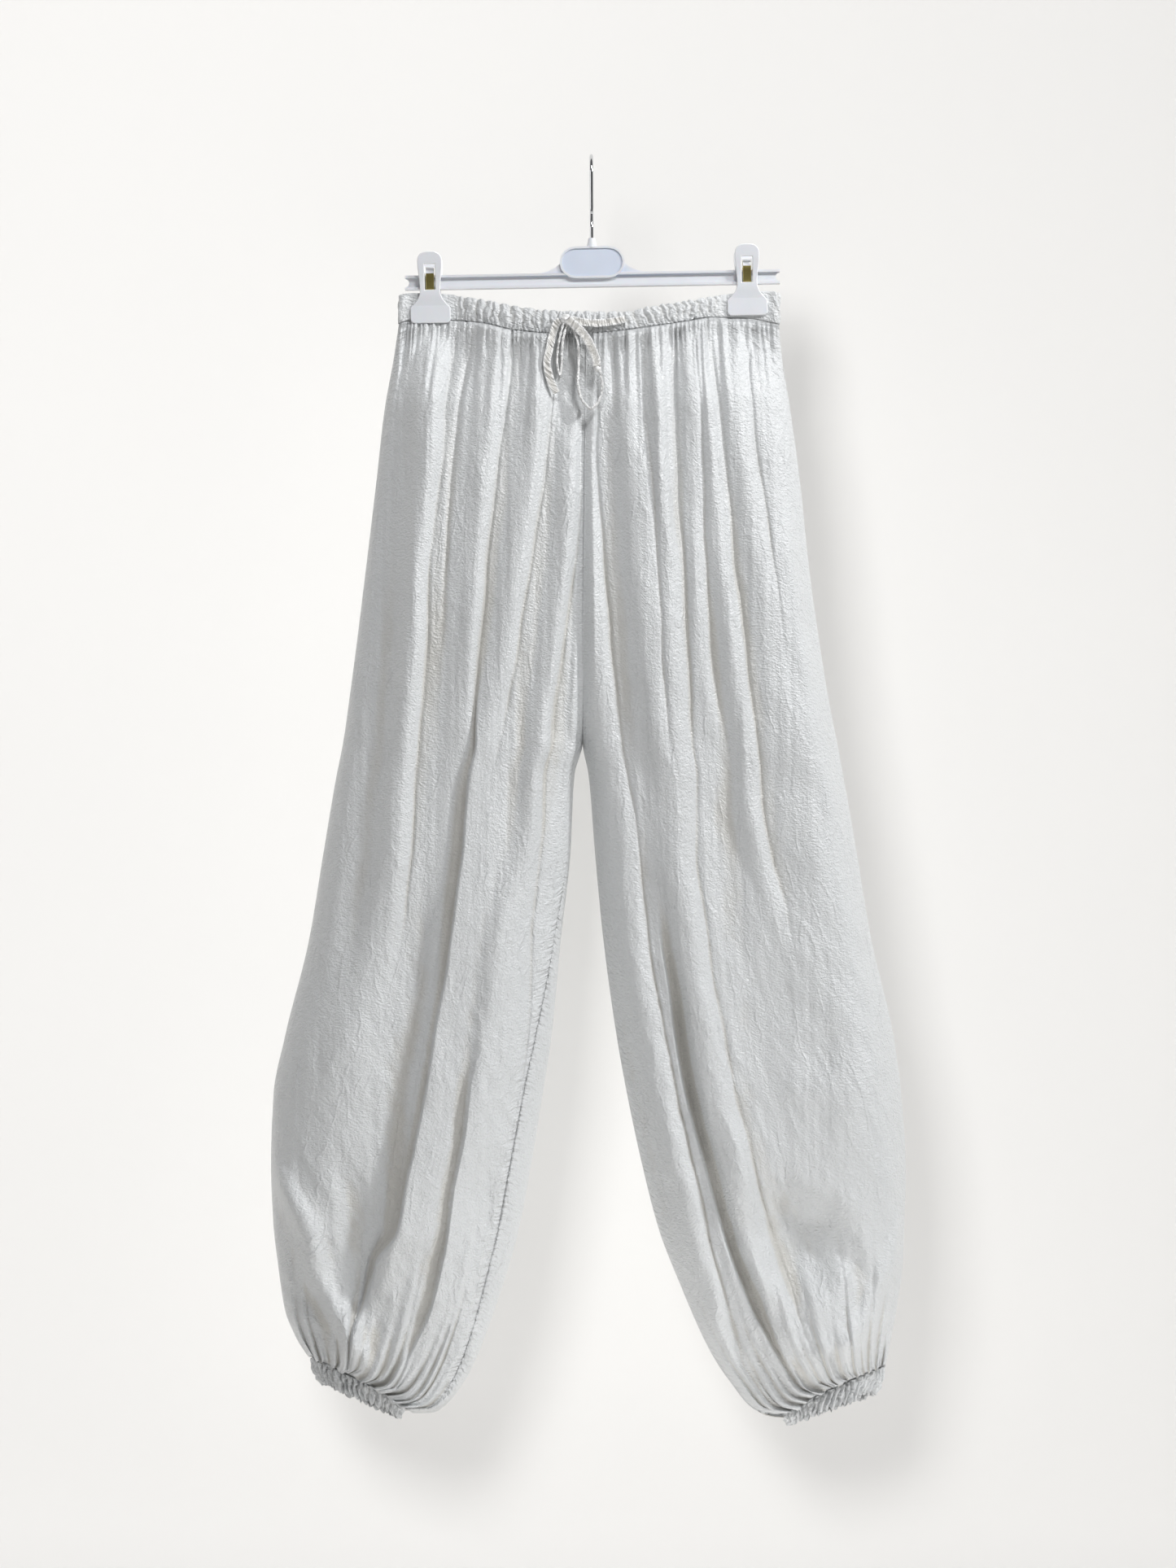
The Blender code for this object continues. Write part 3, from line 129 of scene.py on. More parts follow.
# Small sizes of the cloth: the round of the waist's ends, the clips' pads and how far their pinch fades,
# the gaps at seams, the tip of the cuffs, the share of a ring's points in each rounded end, and the
# lengths over which the flat waist opens into a leg.
WAIST_END_ROUND = 6.0
PINCH_WALL = 0.8
PINCH_FADE = 16.0
CLIP_X = (-148.9, 142.9)
CLIP_PAD_HALF = 18.5
SEAM_GAP = 0.34
CUFF_GAP = 0.5
CUFF_TIP = 0.30
CUFF_TIP_REACH = 90.0
END_ZONE = 0.2
CORNER_SHARE = END_ZONE / (2 * (1 - END_ZONE))
FLAT_DOWN = 4.0
SECTION_BLEND = 72.0
SEAM_BLEND = 70.0
THIN_LIMIT = 2.1


def cubic(places: Array, values: Array, slopes: Array, wanted: Array) -> Array:
    """Read a curve made of cubics.

    Args:
        places: Where the values stand, in rising order.
        values: The values.
        slopes: The slope at each value.
        wanted: Where to read the curve.

    Returns:
        The curve at the wanted places.
    """
    k = np.clip(np.searchsorted(places, wanted, side="right") - 1, 0, len(places) - 2)
    h = places[k + 1] - places[k]
    t = (wanted - places[k]) / h
    start = (1 + 2 * t) * (1 - t) ** 2 * values[k] + t * (1 - t) ** 2 * h * slopes[k]
    return start + t * t * (3 - 2 * t) * values[k + 1] + t * t * (t - 1) * h * slopes[k + 1]


class SmoothCurve:
    """A smooth curve through table values that never overshoots them, level beyond its ends."""

    def __init__(self, rows: Table) -> None:
        """Prepare the slopes.

        Args:
            rows: Pairs of place and value, in rising order of place.
        """
        table = np.asarray(rows, float)
        self.x, self.y = table[:, 0], table[:, 1]
        steps = np.diff(self.x)
        slopes = np.diff(self.y) / steps
        self.m = np.concatenate([slopes[:1], np.zeros(len(steps) - 1), slopes[-1:]])
        for k in range(1, len(self.x) - 1):
            before, after = slopes[k - 1], slopes[k]
            if before * after > 0:
                near = 2 * steps[k] + steps[k - 1]
                far = steps[k] + 2 * steps[k - 1]
                self.m[k] = (near + far) / (near / before + far / after)

    def __call__(self, place: Array) -> Array:
        """Value of the curve at some places."""
        return cubic(self.x, self.y, self.m, np.clip(np.asarray(place, float), self.x[0], self.x[-1]))


def smooth(value: Array) -> Array:
    """Ease from nought to one."""
    value = np.clip(value, 0.0, 1.0)
    return value * value * (3 - 2 * value)


def ellipse_end(share: Array) -> Array:
    """Height of a quarter ellipse over the first share of a width."""
    return np.sqrt(np.clip(1 - (1 - np.clip(share, 0.0, 1.0)) ** 2, 0.0, 1.0))


def hump(value: Array) -> Array:
    """A rounded ridge, one at nought and nought beyond one on either side."""
    return 0.5 + 0.5 * np.cos(np.pi * np.clip(value, -1.0, 1.0))


def column(rows: Table, index: int) -> SmoothCurve:
    """A curve through one column of a table."""
    return SmoothCurve(tuple((row[0], row[index]) for row in rows))


def unit(vectors: Array) -> Array:
    """Vectors brought to a length of one."""
    return vectors / np.linalg.norm(vectors, axis=-1, keepdims=True)


def travelled(points: Array) -> Array:
    """Length from the first point of a path to each of them."""
    return np.concatenate([[0.0], np.cumsum(np.linalg.norm(np.diff(points, axis=0), axis=-1))])


def row_mean(rows: Array, half: int) -> Array:
    """Mean of each value with as many neighbours on both sides in its row."""
    padded = np.pad(rows, ((0, 0), (half, half)), mode="edge")
    return np.mean([padded[:, k:k + rows.shape[1]] for k in range(2 * half + 1)], axis=0)


WAIST_TOP, WAIST_BOTTOM, WAIST_BOW = (column(WAIST, index) for index in (1, 2, 3))
WAIST_LEFT, WAIST_RIGHT = WAIST[0][0], WAIST[-1][0]


def waist_depth(x: Array) -> Array:
    """Outer face of the waist, measured from the middle plane."""
    ends = ellipse_end((x - WAIST_LEFT) / WAIST_END_ROUND) * ellipse_end((WAIST_RIGHT - x) / WAIST_END_ROUND)
    return (WAIST_BOW(x) + PINCH_WALL) * ends


def pinch(x: Array) -> Array:
    """One under a clip's pad, nought away from it."""
    reach = [np.abs(x - place) for place in CLIP_X]
    return 1 - smooth((np.minimum(*reach) - CLIP_PAD_HALF) / PINCH_FADE)


def ring_share(place: Array) -> Array:
    """Share of a ring's width at a place on it.

    Args:
        place: Nought to one round the front or the back, with points closer at the two rounded ends.

    Returns:
        The shares.
    """
    first = CORNER_SHARE * (place / END_ZONE) ** 2
    last = 1 - CORNER_SHARE * ((1 - place) / END_ZONE) ** 2
    middle = CORNER_SHARE + (place - END_ZONE) * (1 - 2 * CORNER_SHARE) / (1 - 2 * END_ZONE)
    return np.where(place < END_ZONE, first, np.where(place > 1 - END_ZONE, last, middle))


def ring_place(share: Array) -> Array:
    """Place on a ring of a share of its width: the way back from ring_share.

    Args:
        share: Shares of the width.

    Returns:
        Nought to one round the front or the back.
    """
    first = END_ZONE * np.sqrt(np.clip(share, 0.0, CORNER_SHARE) / CORNER_SHARE)
    last = 1 - END_ZONE * np.sqrt(np.clip(1 - share, 0.0, CORNER_SHARE) / CORNER_SHARE)
    middle = END_ZONE + (share - CORNER_SHARE) * (1 - 2 * END_ZONE) / (1 - 2 * CORNER_SHARE)
    return np.where(share < CORNER_SHARE, first, np.where(share > 1 - CORNER_SHARE, last, middle))


class Crinkle:
    """Smooth seeded unevenness over a surface, between about -1 and 1."""

    CELLS = (97, 89)
    STRENGTH = 1.5
    CREASE_STEEPNESS = 3.0
    CREASE_POWER = 0.7

    def __init__(self, seed: int) -> None:
        """Draw the directions of the small slopes for a seed."""
        angle = np.random.default_rng(seed).uniform(0, 2 * np.pi, self.CELLS)
        self.slope_u, self.slope_v = np.cos(angle), np.sin(angle)

    def at(self, u: Array, v: Array) -> Array:
        """Read the unevenness.

        Args:
            u: Places across, in cells.
            v: Places along, in cells.

        Returns:
            Values between about -1 and 1.
        """
        u, v = np.broadcast_arrays(np.asarray(u, float), np.asarray(v, float))
        i, j = np.floor(u).astype(int), np.floor(v).astype(int)
        a, b = u - i, v - j
        total = np.zeros_like(a)
        for di in (0, 1):
            for dj in (0, 1):
                cell = ((i + di) % self.CELLS[0], (j + dj) % self.CELLS[1])
                weight = (smooth(a) if di else 1 - smooth(a)) * (smooth(b) if dj else 1 - smooth(b))
                total = total + weight * (self.slope_u[cell] * (a - di) + self.slope_v[cell] * (b - dj))
        return total * self.STRENGTH

    def ridges(self, u: Array, v: Array) -> Array:
        """Sharp little creases with round ground between them, one on a crease."""
        return 1 - np.clip(np.abs(self.at(u, v)) * self.CREASE_STEEPNESS, 0.0, 1.0) ** self.CREASE_POWER


WANDER = Crinkle(7)

# How every fold strays from its track and swells along it, how its crisp side falls, and how it ends.
STRAY, STRAY_LENGTH = 1.5, 48.0
SWELL, SWELL_LENGTH, SWELL_PLACE = 0.42, 120.0, 31.3
ROLL_POWER, ROLL_GROOVE = 1.7, 0.55
LAP_LEFT, LAP_POWER, LAP_SHADE = 3.0, 0.8, 14.0
GROOVE_HALF = 2.0
END_SHARE, LONGEST_END = 0.35, 150.0
NAME_STEP = 0.37


class Profile(Enum):
    """How a fold looks across."""

    ROLLED = "rolled"
    LAPPED = "lapped"
    SOFT = "soft"
    GROOVE = "groove"


@dataclass(frozen=True)
class Fold:
    """One fold that runs down a panel.

    A rolled fold rises slowly from the left, falls over its band and ends in a crisp crease on the
    track. The track gives the share of the width from the outer edge at lengths down the leg. The band
    has one width or a table of them.
    """

    name: str
    profile: Profile
    height: float
    left: float
    band: float | Table
    start: float
    end: float
    track: Table
    groove: float = 2.6
    fade: float = 90.0

    def raised(self, down: Array, distance: Array) -> Array:
        """Height of the fold.

        Args:
            down: Length down the leg.
            distance: How far to the right of the track, as the panel is seen.

        Returns:
            Height over the panel's own form.
        """
        band = SmoothCurve(self.band)(down) if isinstance(self.band, tuple) else self.band
        own = NAME_STEP * sum(map(ord, self.name)) + self.end
        distance = distance + STRAY * WANDER.at(down / STRAY_LENGTH, own)
        groove = 0.0
        if self.profile is Profile.ROLLED:
            rise = smooth((distance + band + self.left) / self.left)
            fall = 1 - np.clip((distance + band) / band, 0.0, 1.0) ** ROLL_POWER
            shape = np.where(distance < -band, rise, fall)
            groove = ROLL_GROOVE * self.groove * hump((distance - GROOVE_HALF / 2) / GROOVE_HALF)
        elif self.profile is Profile.LAPPED:
            fall = 1 - smooth((distance - self.left) / band) ** LAP_POWER
            shape = np.where(distance < self.left, smooth(distance / self.left), fall)
            shape = np.where(distance < 0, 0.0, shape)
            shade = np.where(distance < -GROOVE_HALF, LAP_SHADE, GROOVE_HALF)
            groove = self.groove * hump((distance + GROOVE_HALF) / shade)
        elif self.profile is Profile.SOFT:
            shape = hump(distance / np.where(distance < 0, self.left, band))
        else:
            shape = hump(distance / band)
        last = min(END_SHARE * (self.end - self.start), LONGEST_END)
        ends = smooth((down - self.start) / self.fade) * smooth((self.end - down) / last)
        swell = 1 + SWELL * WANDER.at(down / SWELL_LENGTH, own + SWELL_PLACE)
        return (self.height * shape - groove) * ends * swell


def rolled(name: str, height: float, left: float, band: float | Table, start: float, end: float,
           track: Table, groove: float = 2.6) -> Fold:
    """A rolled fold."""
    return Fold(name, Profile.ROLLED, height, left, band, start, end, track, groove)


def lapped(name: str, height: float, band: float | Table, start: float, end: float, track: Table,
           fade: float = 90.0) -> Fold:
    """A fold whose left edge lies over its neighbour, and which falls slowly to the right."""
    return Fold(name, Profile.LAPPED, height, LAP_LEFT, band, start, end, track, 3.0, fade)


def soft(name: str, height: float, left: float, right: float, start: float, end: float, track: Table,
         fade: float = 90.0) -> Fold:
    """A soft fold, or a hollow where its height is below nought."""
    return Fold(name, Profile.SOFT, height, left, right, start, end, track, 0.0, fade)


def line(name: str, depth: float, start: float, end: float, track: Table) -> Fold:
    """A pressed line."""
    return Fold(name, Profile.GROOVE, -depth, 4.0, 4.0, start, end, track, 0.0, 60.0)


# The main crease of each front panel, which its folds and its columns follow, then each panel's folds.
LEFT_MAIN: Table = (
    (15, .605), (64, .608), (115, .584), (199, .563), (267, .554), (337, .544), (412, .560), (583, .561),
    (655, .565), (714, .562), (750, .551), (792, .528), (829, .512), (859, .433), (901, .394), (918, .368),
    (978, .330),
)
LEFT_FRONT_FOLDS = (
    rolled("hip roll", 8.5, 34, ((0, 11), (517, 12)), -90, 620,
           ((1, .276), (74, .310), (117, .313), (180, .298), (243, .303), (305, .319), (369, .321),
            (447, .355), (517, .368), (620, .372)), 3.0),
    line("pleat line", 3.4, -60, 330,
         ((12, .394), (51, .383), (97, .371), (116, .367), (190, .370), (263, .385))),
    rolled("main roll", 9, 30, ((0, 17), (320, 8), (420, 7)), -90, 470, LEFT_MAIN, 3.4),
    lapped("calf lap", 13, ((330, 40), (600, 62), (800, 60), (930, 30)), 300, 1010, LEFT_MAIN, 160.0),
    rolled("inner roll", 8, 24, 12, -90, 460,
           ((52, .824), (114, .812), (188, .772), (251, .734), (315, .698), (358, .670), (390, .655)), 2.8),
    rolled("seam roll", 9, 22, ((112, 10), (369, 7), (447, 9), (518, 20), (605, 30), (666, 34), (760, 30)),
           30, 800, ((112, .980), (187, .972), (240, .942), (304, .904), (369, .873), (447, .881),
                     (518, .876), (605, .896), (666, .908), (749, .905)), 2.4),
    soft("crotch ridge", 3.5, 7, 5, 250, 500, ((303, .972), (369, .962), (448, .975))),
    lapped("low lap", 6, 34, 640, 1010,
           ((700, .727), (734, .725), (782, .717), (830, .711), (870, .708), (890, .707), (941, .651),
            (978, .60))),
    soft("side facet", 12, 24, 22, 730, 1010,
         ((763, -.01), (834, .150), (875, .190), (933, .340), (978, .42))),
    soft("facet hollow", -9, 20, 30, 740, 985,
         ((740, .22), (800, .33), (860, .36), (920, .44), (960, .50))),
    soft("hip hollow", -5, 26, 22, 20, 660, ((0, .12), (240, .14), (480, .17), (660, .18))),
    soft("left plane", -9, 70, 20, 480, 960, ((480, .40), (640, .47), (800, .46), (900, .38))),
)
RIGHT_MAIN: Table = (
    (20, .550), (89, .570), (166, .574), (221, .562), (285, .565), (370, .573), (448, .600), (497, .621),
    (573, .618), (638, .618), (693, .616), (751, .592), (799, .572), (852, .543), (901, .519), (988, .45),
)
RIGHT_FRONT_FOLDS = (
    rolled("seam roll", 9, 24, ((77, 9), (200, 14), (600, 18), (900, 12)), 20, 1010,
           ((77, .950), (113, .953), (190, .918), (209, .913), (305, .879), (380, .850), (410, .852),
            (448, .836), (497, .835), (584, .834), (645, .826), (704, .823), (751, .818), (802, .802),
            (868, .816), (920, .841), (948, .895)), 3.2),
    rolled("short roll", 4, 10, 8, -90, 100, ((6, .870), (61, .858)), 1.6),
    rolled("second roll", 8, 22, ((0, 10), (200, 18), (412, 12)), -90, 460,
           ((5, .712), (79, .716), (134, .700), (200, .682), (316, .672), (412, .660)), 2.6),
    rolled("third roll", 5, 13, 8, -90, 250, ((3, .606), (57, .600), (119, .604), (200, .590)), 1.6),
    rolled("main roll", 10, 32, ((0, 10), (200, 15), (500, 17), (900, 12)), -40, 1000, RIGHT_MAIN, 3.4),
    rolled("fourth roll", 6, 16, 10, -90, 430,
           ((4, .455), (59, .443), (135, .456), (200, .465), (295, .466), (372, .446)), 2.2),
    rolled("fifth roll", 8, 20, 12, -90, 620,
           ((5, .363), (75, .353), (151, .343), (212, .336), (306, .323), (391, .324), (448, .346),
            (485, .334), (532, .310)), 2.8),
    rolled("sixth roll", 6, 24, 15, -90, 360,
           ((16, .166), (54, .191), (114, .200), (152, .186), (193, .174), (213, .167), (300, .160)), 2.4),
    soft("calf gap", -16, 6, 14, 500, 1010,
         ((500, .780), (600, .772), (679, .776), (793, .742), (882, .712), (940, .660), (988, .620)), 120.0),
    soft("calf facet", 10, 18, 24, 760, 1010,
         ((800, -.03), (850, .03), (900, .14), (945, .26), (988, .36))),
    soft("thigh swell", 4, 34, 40, 460, 800, ((460, .42), (640, .43), (860, .46))),
)
LEFT_BACK_FOLDS = (
    rolled("seat roll", 9, 32, 13, -90, 560, ((0, .77), (120, .74), (240, .71), (480, .68), (720, .66))),
    line("seat line", 3.0, -60, 320, ((12, .63), (100, .62), (300, .60))),
    rolled("main roll", 10, 34, 16, -90, 1010,
           ((0, .44), (120, .47), (240, .50), (360, .51), (480, .50), (720, .47), (860, .52),
            (960, .60)), 3.4),
    rolled("rise roll", 8, 22, 12, 20, 860, ((20, .07), (240, .13), (480, .20), (720, .22), (860, .20))),
    rolled("inner roll", 8, 26, 14, -90, 480, ((0, .22), (120, .26), (240, .31), (480, .38))),
    soft("calf ridge", 9, 20, 16, 720, 1010, ((720, 1.02), (800, .94), (870, .84), (960, .66))),
    soft("calf hollow", -6, 24, 22, 620, 960, ((620, .30), (800, .30), (960, .40))),
)
RIGHT_BACK_FOLDS = (
    rolled("seat roll", 9, 30, 14, -90, 520, ((0, .22), (120, .25), (240, .26), (480, .30))),
    line("seat line", 3.0, -60, 380, ((12, .37), (100, .38), (300, .41))),
    rolled("main roll", 10, 34, 16, -90, 1010,
           ((0, .54), (120, .55), (240, .53), (360, .55), (480, .58), (720, .57), (860, .52),
            (960, .44)), 3.4),
    rolled("rise roll", 8, 20, 13, 20, 840, ((20, .93), (240, .88), (480, .83), (720, .80), (840, .80))),
    rolled("inner roll", 7, 24, 13, -90, 540, ((0, .78), (120, .77), (240, .74), (480, .70))),
    soft("calf ridge", 9, 16, 20, 720, 1010, ((720, -.02), (800, .06), (870, .16), (960, .34))),
    soft("calf hollow", -6, 22, 24, 640, 960, ((640, .72), (800, .70), (960, .58))),
)



# How the rim of a sag strays along and across the leg: share of its reach, waves across, place across,
# length of a wave down the leg.
SAG_STRAY: Table = ((0.22, 7, 0, 70.0), (0.16, 5, 9, 40.0))


@dataclass(frozen=True)
class Sag:
    """A hollow across a leg where the cloth above hangs over the cloth below, or a swell."""

    deep: float
    down: float
    above: float
    below: float
    across: float
    reach: Pair
    slant: float = 0.0

    def raised(self, down: Array, across: Array) -> Array:
        """Height of the sag.

        Args:
            down: Lengths down the leg.
            across: Shares of the leg's width.

        Returns:
            Height over the panel's own form, below nought in the hollow.
        """
        side = across - self.across
        away = []
        parts = ((down - self.down - self.slant * side, (self.above, self.below)), (side, self.reach))
        for (distance, limits), (stray, waves, start, length) in zip(parts, SAG_STRAY):
            uneven = stray * WANDER.at(across * waves + start, down / length)
            away.append(distance / np.where(distance < 0, *limits) + uneven)
        return -self.deep * hump(np.hypot(*away))


LEFT_FRONT_SAGS = (
    Sag(7, 75, 80, 100, .875, (.07, .14)),
    Sag(7, 905, 90, 60, .24, (.30, .30), 60.0),
    Sag(5, 800, 70, 60, .84, (.14, .12)),
    Sag(-4, 640, 150, 150, .30, (.30, .30)),
    Sag(4, 930, 50, 40, .62, (.25, .30)),
    Sag(-13, 938, 86, 40, .42, (.36, .42)),
)
RIGHT_FRONT_SAGS = (
    Sag(29, 842, 74, 62, .47, (.36, .27), -48.0),
    Sag(-10, 700, 700, 280, .10, (.10, .26)),
    Sag(8, 640, 420, 240, .46, (.30, .16)),
    Sag(-5, 260, 260, 300, .11, (.10, .24)),
    Sag(-5, 950, 40, 40, .26, (.26, .3)),
    Sag(-5, 720, 130, 90, .30, (.30, .30)),
    Sag(-22, 942, 90, 38, .36, (.36, .42)),
)
LEFT_BACK_SAGS = (
    Sag(11, 860, 90, 70, .34, (.30, .30), 50.0),
    Sag(6, 900, 60, 60, .72, (.2, .2)),
)
RIGHT_BACK_SAGS = (
    Sag(11, 880, 90, 70, .36, (.30, .30), -40.0),
    Sag(6, 840, 60, 60, .74, (.2, .2)),
)


@dataclass(frozen=True)
class Gathers:
    """Small uneven folds that run out of a panel's gathered end, drawn between two sizes of each kind."""

    seed: int
    count: int
    tall: Pair
    wide: Pair
    reach: Pair
    spacing: Pair = (0.6, 1.4)
    drift: float = 0.00022
    widening: float = 0.7
    crisp_side: float = 0.62
    groove: float = 0.55
    groove_width: float = 0.45
    fade_power: float = 1.4

    def raised(self, away: Array, across: Array, width: Array) -> Array:
        """Height of the gathers.

        Args:
            away: Length from the gathered seam.
            across: Share of the panel's width.
            width: The panel's width at its seam.

        Returns:
            Height over the panel's own form.
        """
        draw = np.random.default_rng(self.seed)
        total = np.zeros_like(across)
        steps = draw.uniform(*self.spacing, self.count)
        places = (np.cumsum(steps) - steps / 2) / steps.sum()
        for place in places:
            tall, wide, reach = (draw.uniform(*limits) for limits in (self.tall, self.wide, self.reach))
            drift = draw.uniform(-self.drift, self.drift)
            distance = (across - place - drift * away) * width
            spread = wide * (1 + self.widening * away / reach)
            crisp = np.where(distance < 0, spread, spread * self.crisp_side)
            fade = np.exp(-(np.clip(away, 0, None) / reach) ** self.fade_power)
            total = total + tall * hump(distance / crisp) * fade
            groove = hump((distance - crisp) / (self.groove_width * spread))
            total = total - self.groove * tall * groove * np.exp(-(away / reach) ** 2)
        return total


# A long and a short kind of gathers at a panel's two ends: step of the seed, count, height, width, reach.
WAIST_GATHERS = ((0, 18, (1.6, 3.8), (3.4, 6.4), (18, 84)), (60, 40, (2.2, 4.8), (1.5, 2.8), (6, 28)))
HEM_GATHERS = ((0, 15, (3.0, 6.4), (2.8, 5.0), (28, 92)), (60, 26, (1.4, 3.2), (1.3, 2.3), (9, 34)))
# Waves of the washed cloth: one where they are crisp, slant, length across and along, place, height.
WASH_WAVES: Table = ((0, 0.45, 24, 58, 0, 0.7), (1, -0.3, 21, 34, 0, 0.35), (1, -0.62, 15, 52, 9, 0.65))
STREAK_WAVES: Table = ((0, 0, 7.5, 190, 0, 1.0), (0, 0, 4.0, 120, 5, 0.6))


@dataclass(frozen=True)
class SmallSizes:
    """Sizes of a leg's small unevenness: lengths and heights in millimetres, the rest are shares.

    Slow waves and ripples have their lengths across and along first and their height last. The cloth is
    flatter round the knot's place, over half a width and a fade. Two lengths are where an effect starts
    down the leg and how long it takes to come.
    """

    slow: Triple = (46.0, 150.0, 1.5)
    ripple: tuple[float, float, float, float] = (9.0, 5.0, 0.2, 0.14)
    knot: Triple = (-18.0, 32.0, 16.0)
    knot_start: Pair = (6.0, 14.0)
    knot_flattens: float = 0.75
    wash_above: float = 0.5
    wash_more: float = 1.1
    wash_grows: Pair = (440.0, 260.0)
    streak_above: float = 0.75
    streak_less: float = 0.35
    streak_fades: Pair = (200.0, 400.0)
    inseam_start: Pair = (430.0, 120.0)
    pucker: Triple = (0.6, 2.6, 1.3)
    pucker_waist: float = 90.0
    pucker_length: float = 9.0
    pucker_width: float = 26.0
    pucker_reach: float = 13.0
    stitch_calm: Pair = (0.85, 3.0)
    stitch: Pair = (-0.6, 2.0)
    hem_wave: Triple = (0.7, 1.1, 1.2)
    hem_waves: float = 21.0
    hem_swell: Pair = (0.86, 0.22)
    hem_rise: float = 5.0
    hem_fall: Pair = (6.0, 34.0)
    hem_droop: Pair = (3.0, 4.5)


SMALL = SmallSizes()


# Where the folds fade: share of the width at the long seams, and start and length below clips and seams.
EDGE_FADE = 0.05
CLIP_FREES_FOLDS, CLIP_FREES_SMALL = (5.0, 34.0), (-1.0, 9.0)
WAIST_SEWN, HEM_SEWN = (-1.4, 6.0), 4.0


def since(place: Array, start: Pair) -> Array:
    """Ease from nought to one that starts at a first length and takes a second one."""
    return smooth((place - start[0]) / start[1])


def floored(share: Array, low: float) -> Array:
    """A share that starts from a low value instead of nought."""
    return low + (1 - low) * share


class LegForm:
    """One leg, as a tube of cloth from the waist seam to the end of the cuff."""

    def __init__(self, rings: Table, wrap: Table, folds: tuple[tuple[Fold, ...], ...],
                 sags: tuple[tuple[Sag, ...], ...], seed: int, outward: float) -> None:
        """Prepare the curves.

        Args:
            rings: Rows of the ring table.
            wrap: Rows of the wrap table.
            folds: The front's folds and the back's folds.
            sags: The front's sags and the back's sags.
            seed: Seed of the small unevenness.
            outward: One where down crossed with across points out of the cloth, else minus one.
        """
        names = ("outer_x", "outer_z", "inner_x", "inner_z", "front", "back", "centre", "round")
        self.ring = {name: column(rings, index + 1) for index, name in enumerate(names)}
        self.side_wrap, self.inseam_wrap = column(wrap, 1), column(wrap, 2)
        self.length, self.cuff_end = rings[-2][0], rings[-1][0]
        self.folds, self.sags = folds, sags
        self.outward = outward
        self.crinkle = Crinkle(seed)
        self.waist_gathers, self.hem_gathers = (
            tuple(tuple(Gathers(seed + side + step, *sizes) for step, *sizes in kinds) for side in sides)
            for kinds, sides in ((WAIST_GATHERS, (1, 2)), (HEM_GATHERS, (3, 4))))

    def waves(self, rows: Table, x: Array, down: Array, shift: float) -> Array:
        """Sum of some waves of the washed cloth.

        Args:
            rows: Rows of a table of waves.
            x: Places over the width, in millimetres.
            down: Lengths down the leg.
            shift: The panel's place in the leg's unevenness.

        Returns:
            Their height.
        """
        total = 0.0
        for crisp, slant, wide, long, start, high in rows:
            read = self.crinkle.ridges if crisp else self.crinkle.at
            total = total + high * read((x + slant * down) / wide + shift, down / long + start)
        return total

    def seam_puckers(self, down: Array, across: Array, width: Array, behind: bool,
                     shift: float) -> tuple[Array, Array]:
        """Height of the puckers along a panel's two long seams.

        Args:
            down: Lengths down the leg.
            across: Shares of the ring's width.
            width: The ring's width.
            behind: Whether the panel is a back panel.
            shift: The panel's place in the leg's unevenness.

        Returns:
            Height of the puckers, and of the line of stitches, which lies below nought.
        """
        first = 0.0 if behind else self.side_wrap(down)
        last = 1.0 if behind else 1 - self.inseam_wrap(down)
        outer = np.minimum(np.abs(across - first), np.abs(last - across)) * width
        at_inseam = (np.abs(last - across) < np.abs(across - first)) * since(down, SMALL.inseam_start)
        even, waist, inseam = SMALL.pucker
        strong = even + waist * np.exp(-down / SMALL.pucker_waist) + inseam * at_inseam
        strong = strong * (1 - SMALL.stitch_calm[0] * np.exp(-((outer / SMALL.stitch_calm[1]) ** 2)))
        length = SMALL.pucker_length
        pucker = self.crinkle.at(down / length + outer / length, outer / SMALL.pucker_width + shift)
        pucker = pucker * np.exp(-outer / SMALL.pucker_reach) * strong
        return pucker, SMALL.stitch[0] * np.exp(-((outer / SMALL.stitch[1]) ** 2))

    def small_folds(self, down: Array, across: Array, x: Array, behind: bool) -> Array:
        """Height of the gathers and of the cloth's crinkles.

        Args:
            down: Lengths down the leg.
            across: Shares of the leg's width.
            x: Places over the width, in millimetres.
            behind: Whether the panel is a back panel.

        Returns:
            Height over the panel's own form.
        """
        side = int(behind)
        width = np.abs(self.ring["inner_x"](down) - self.ring["outer_x"](down))
        waist = sum(kind.raised(down, across, width) for kind in self.waist_gathers[side])
        hem = sum(kind.raised(self.length - down, across, width) for kind in self.hem_gathers[side])
        if not behind:
            knot_x, half, fade = SMALL.knot
            under_knot = SMALL.knot_flattens * smooth((half - np.abs(x - knot_x)) / fade)
            waist = waist * (1 - under_knot * since(down, SMALL.knot_start))
        shift = 40.0 * side + (0 if self.outward > 0 else 300.0)
        slow_across, slow_along, slow_high = SMALL.slow
        slow = self.crinkle.at((x + shift) / slow_across, down / slow_along + shift)
        wide, long, slant, ripple_high = SMALL.ripple
        ripple = self.crinkle.at(x / wide + shift, (down + slant * x) / long)
        wash = SMALL.wash_above + SMALL.wash_more * since(down, SMALL.wash_grows)
        wash = self.waves(WASH_WAVES, x, down, shift) * wash
        streaks = SMALL.streak_above - SMALL.streak_less * since(down, SMALL.streak_fades)
        streaks = streaks * self.waves(STREAK_WAVES, x, down, shift)
        pucker, seam = self.seam_puckers(down, across, width, behind, shift)
        return waist + hem + slow_high * slow + wash + streaks + ripple_high * ripple + pucker + seam

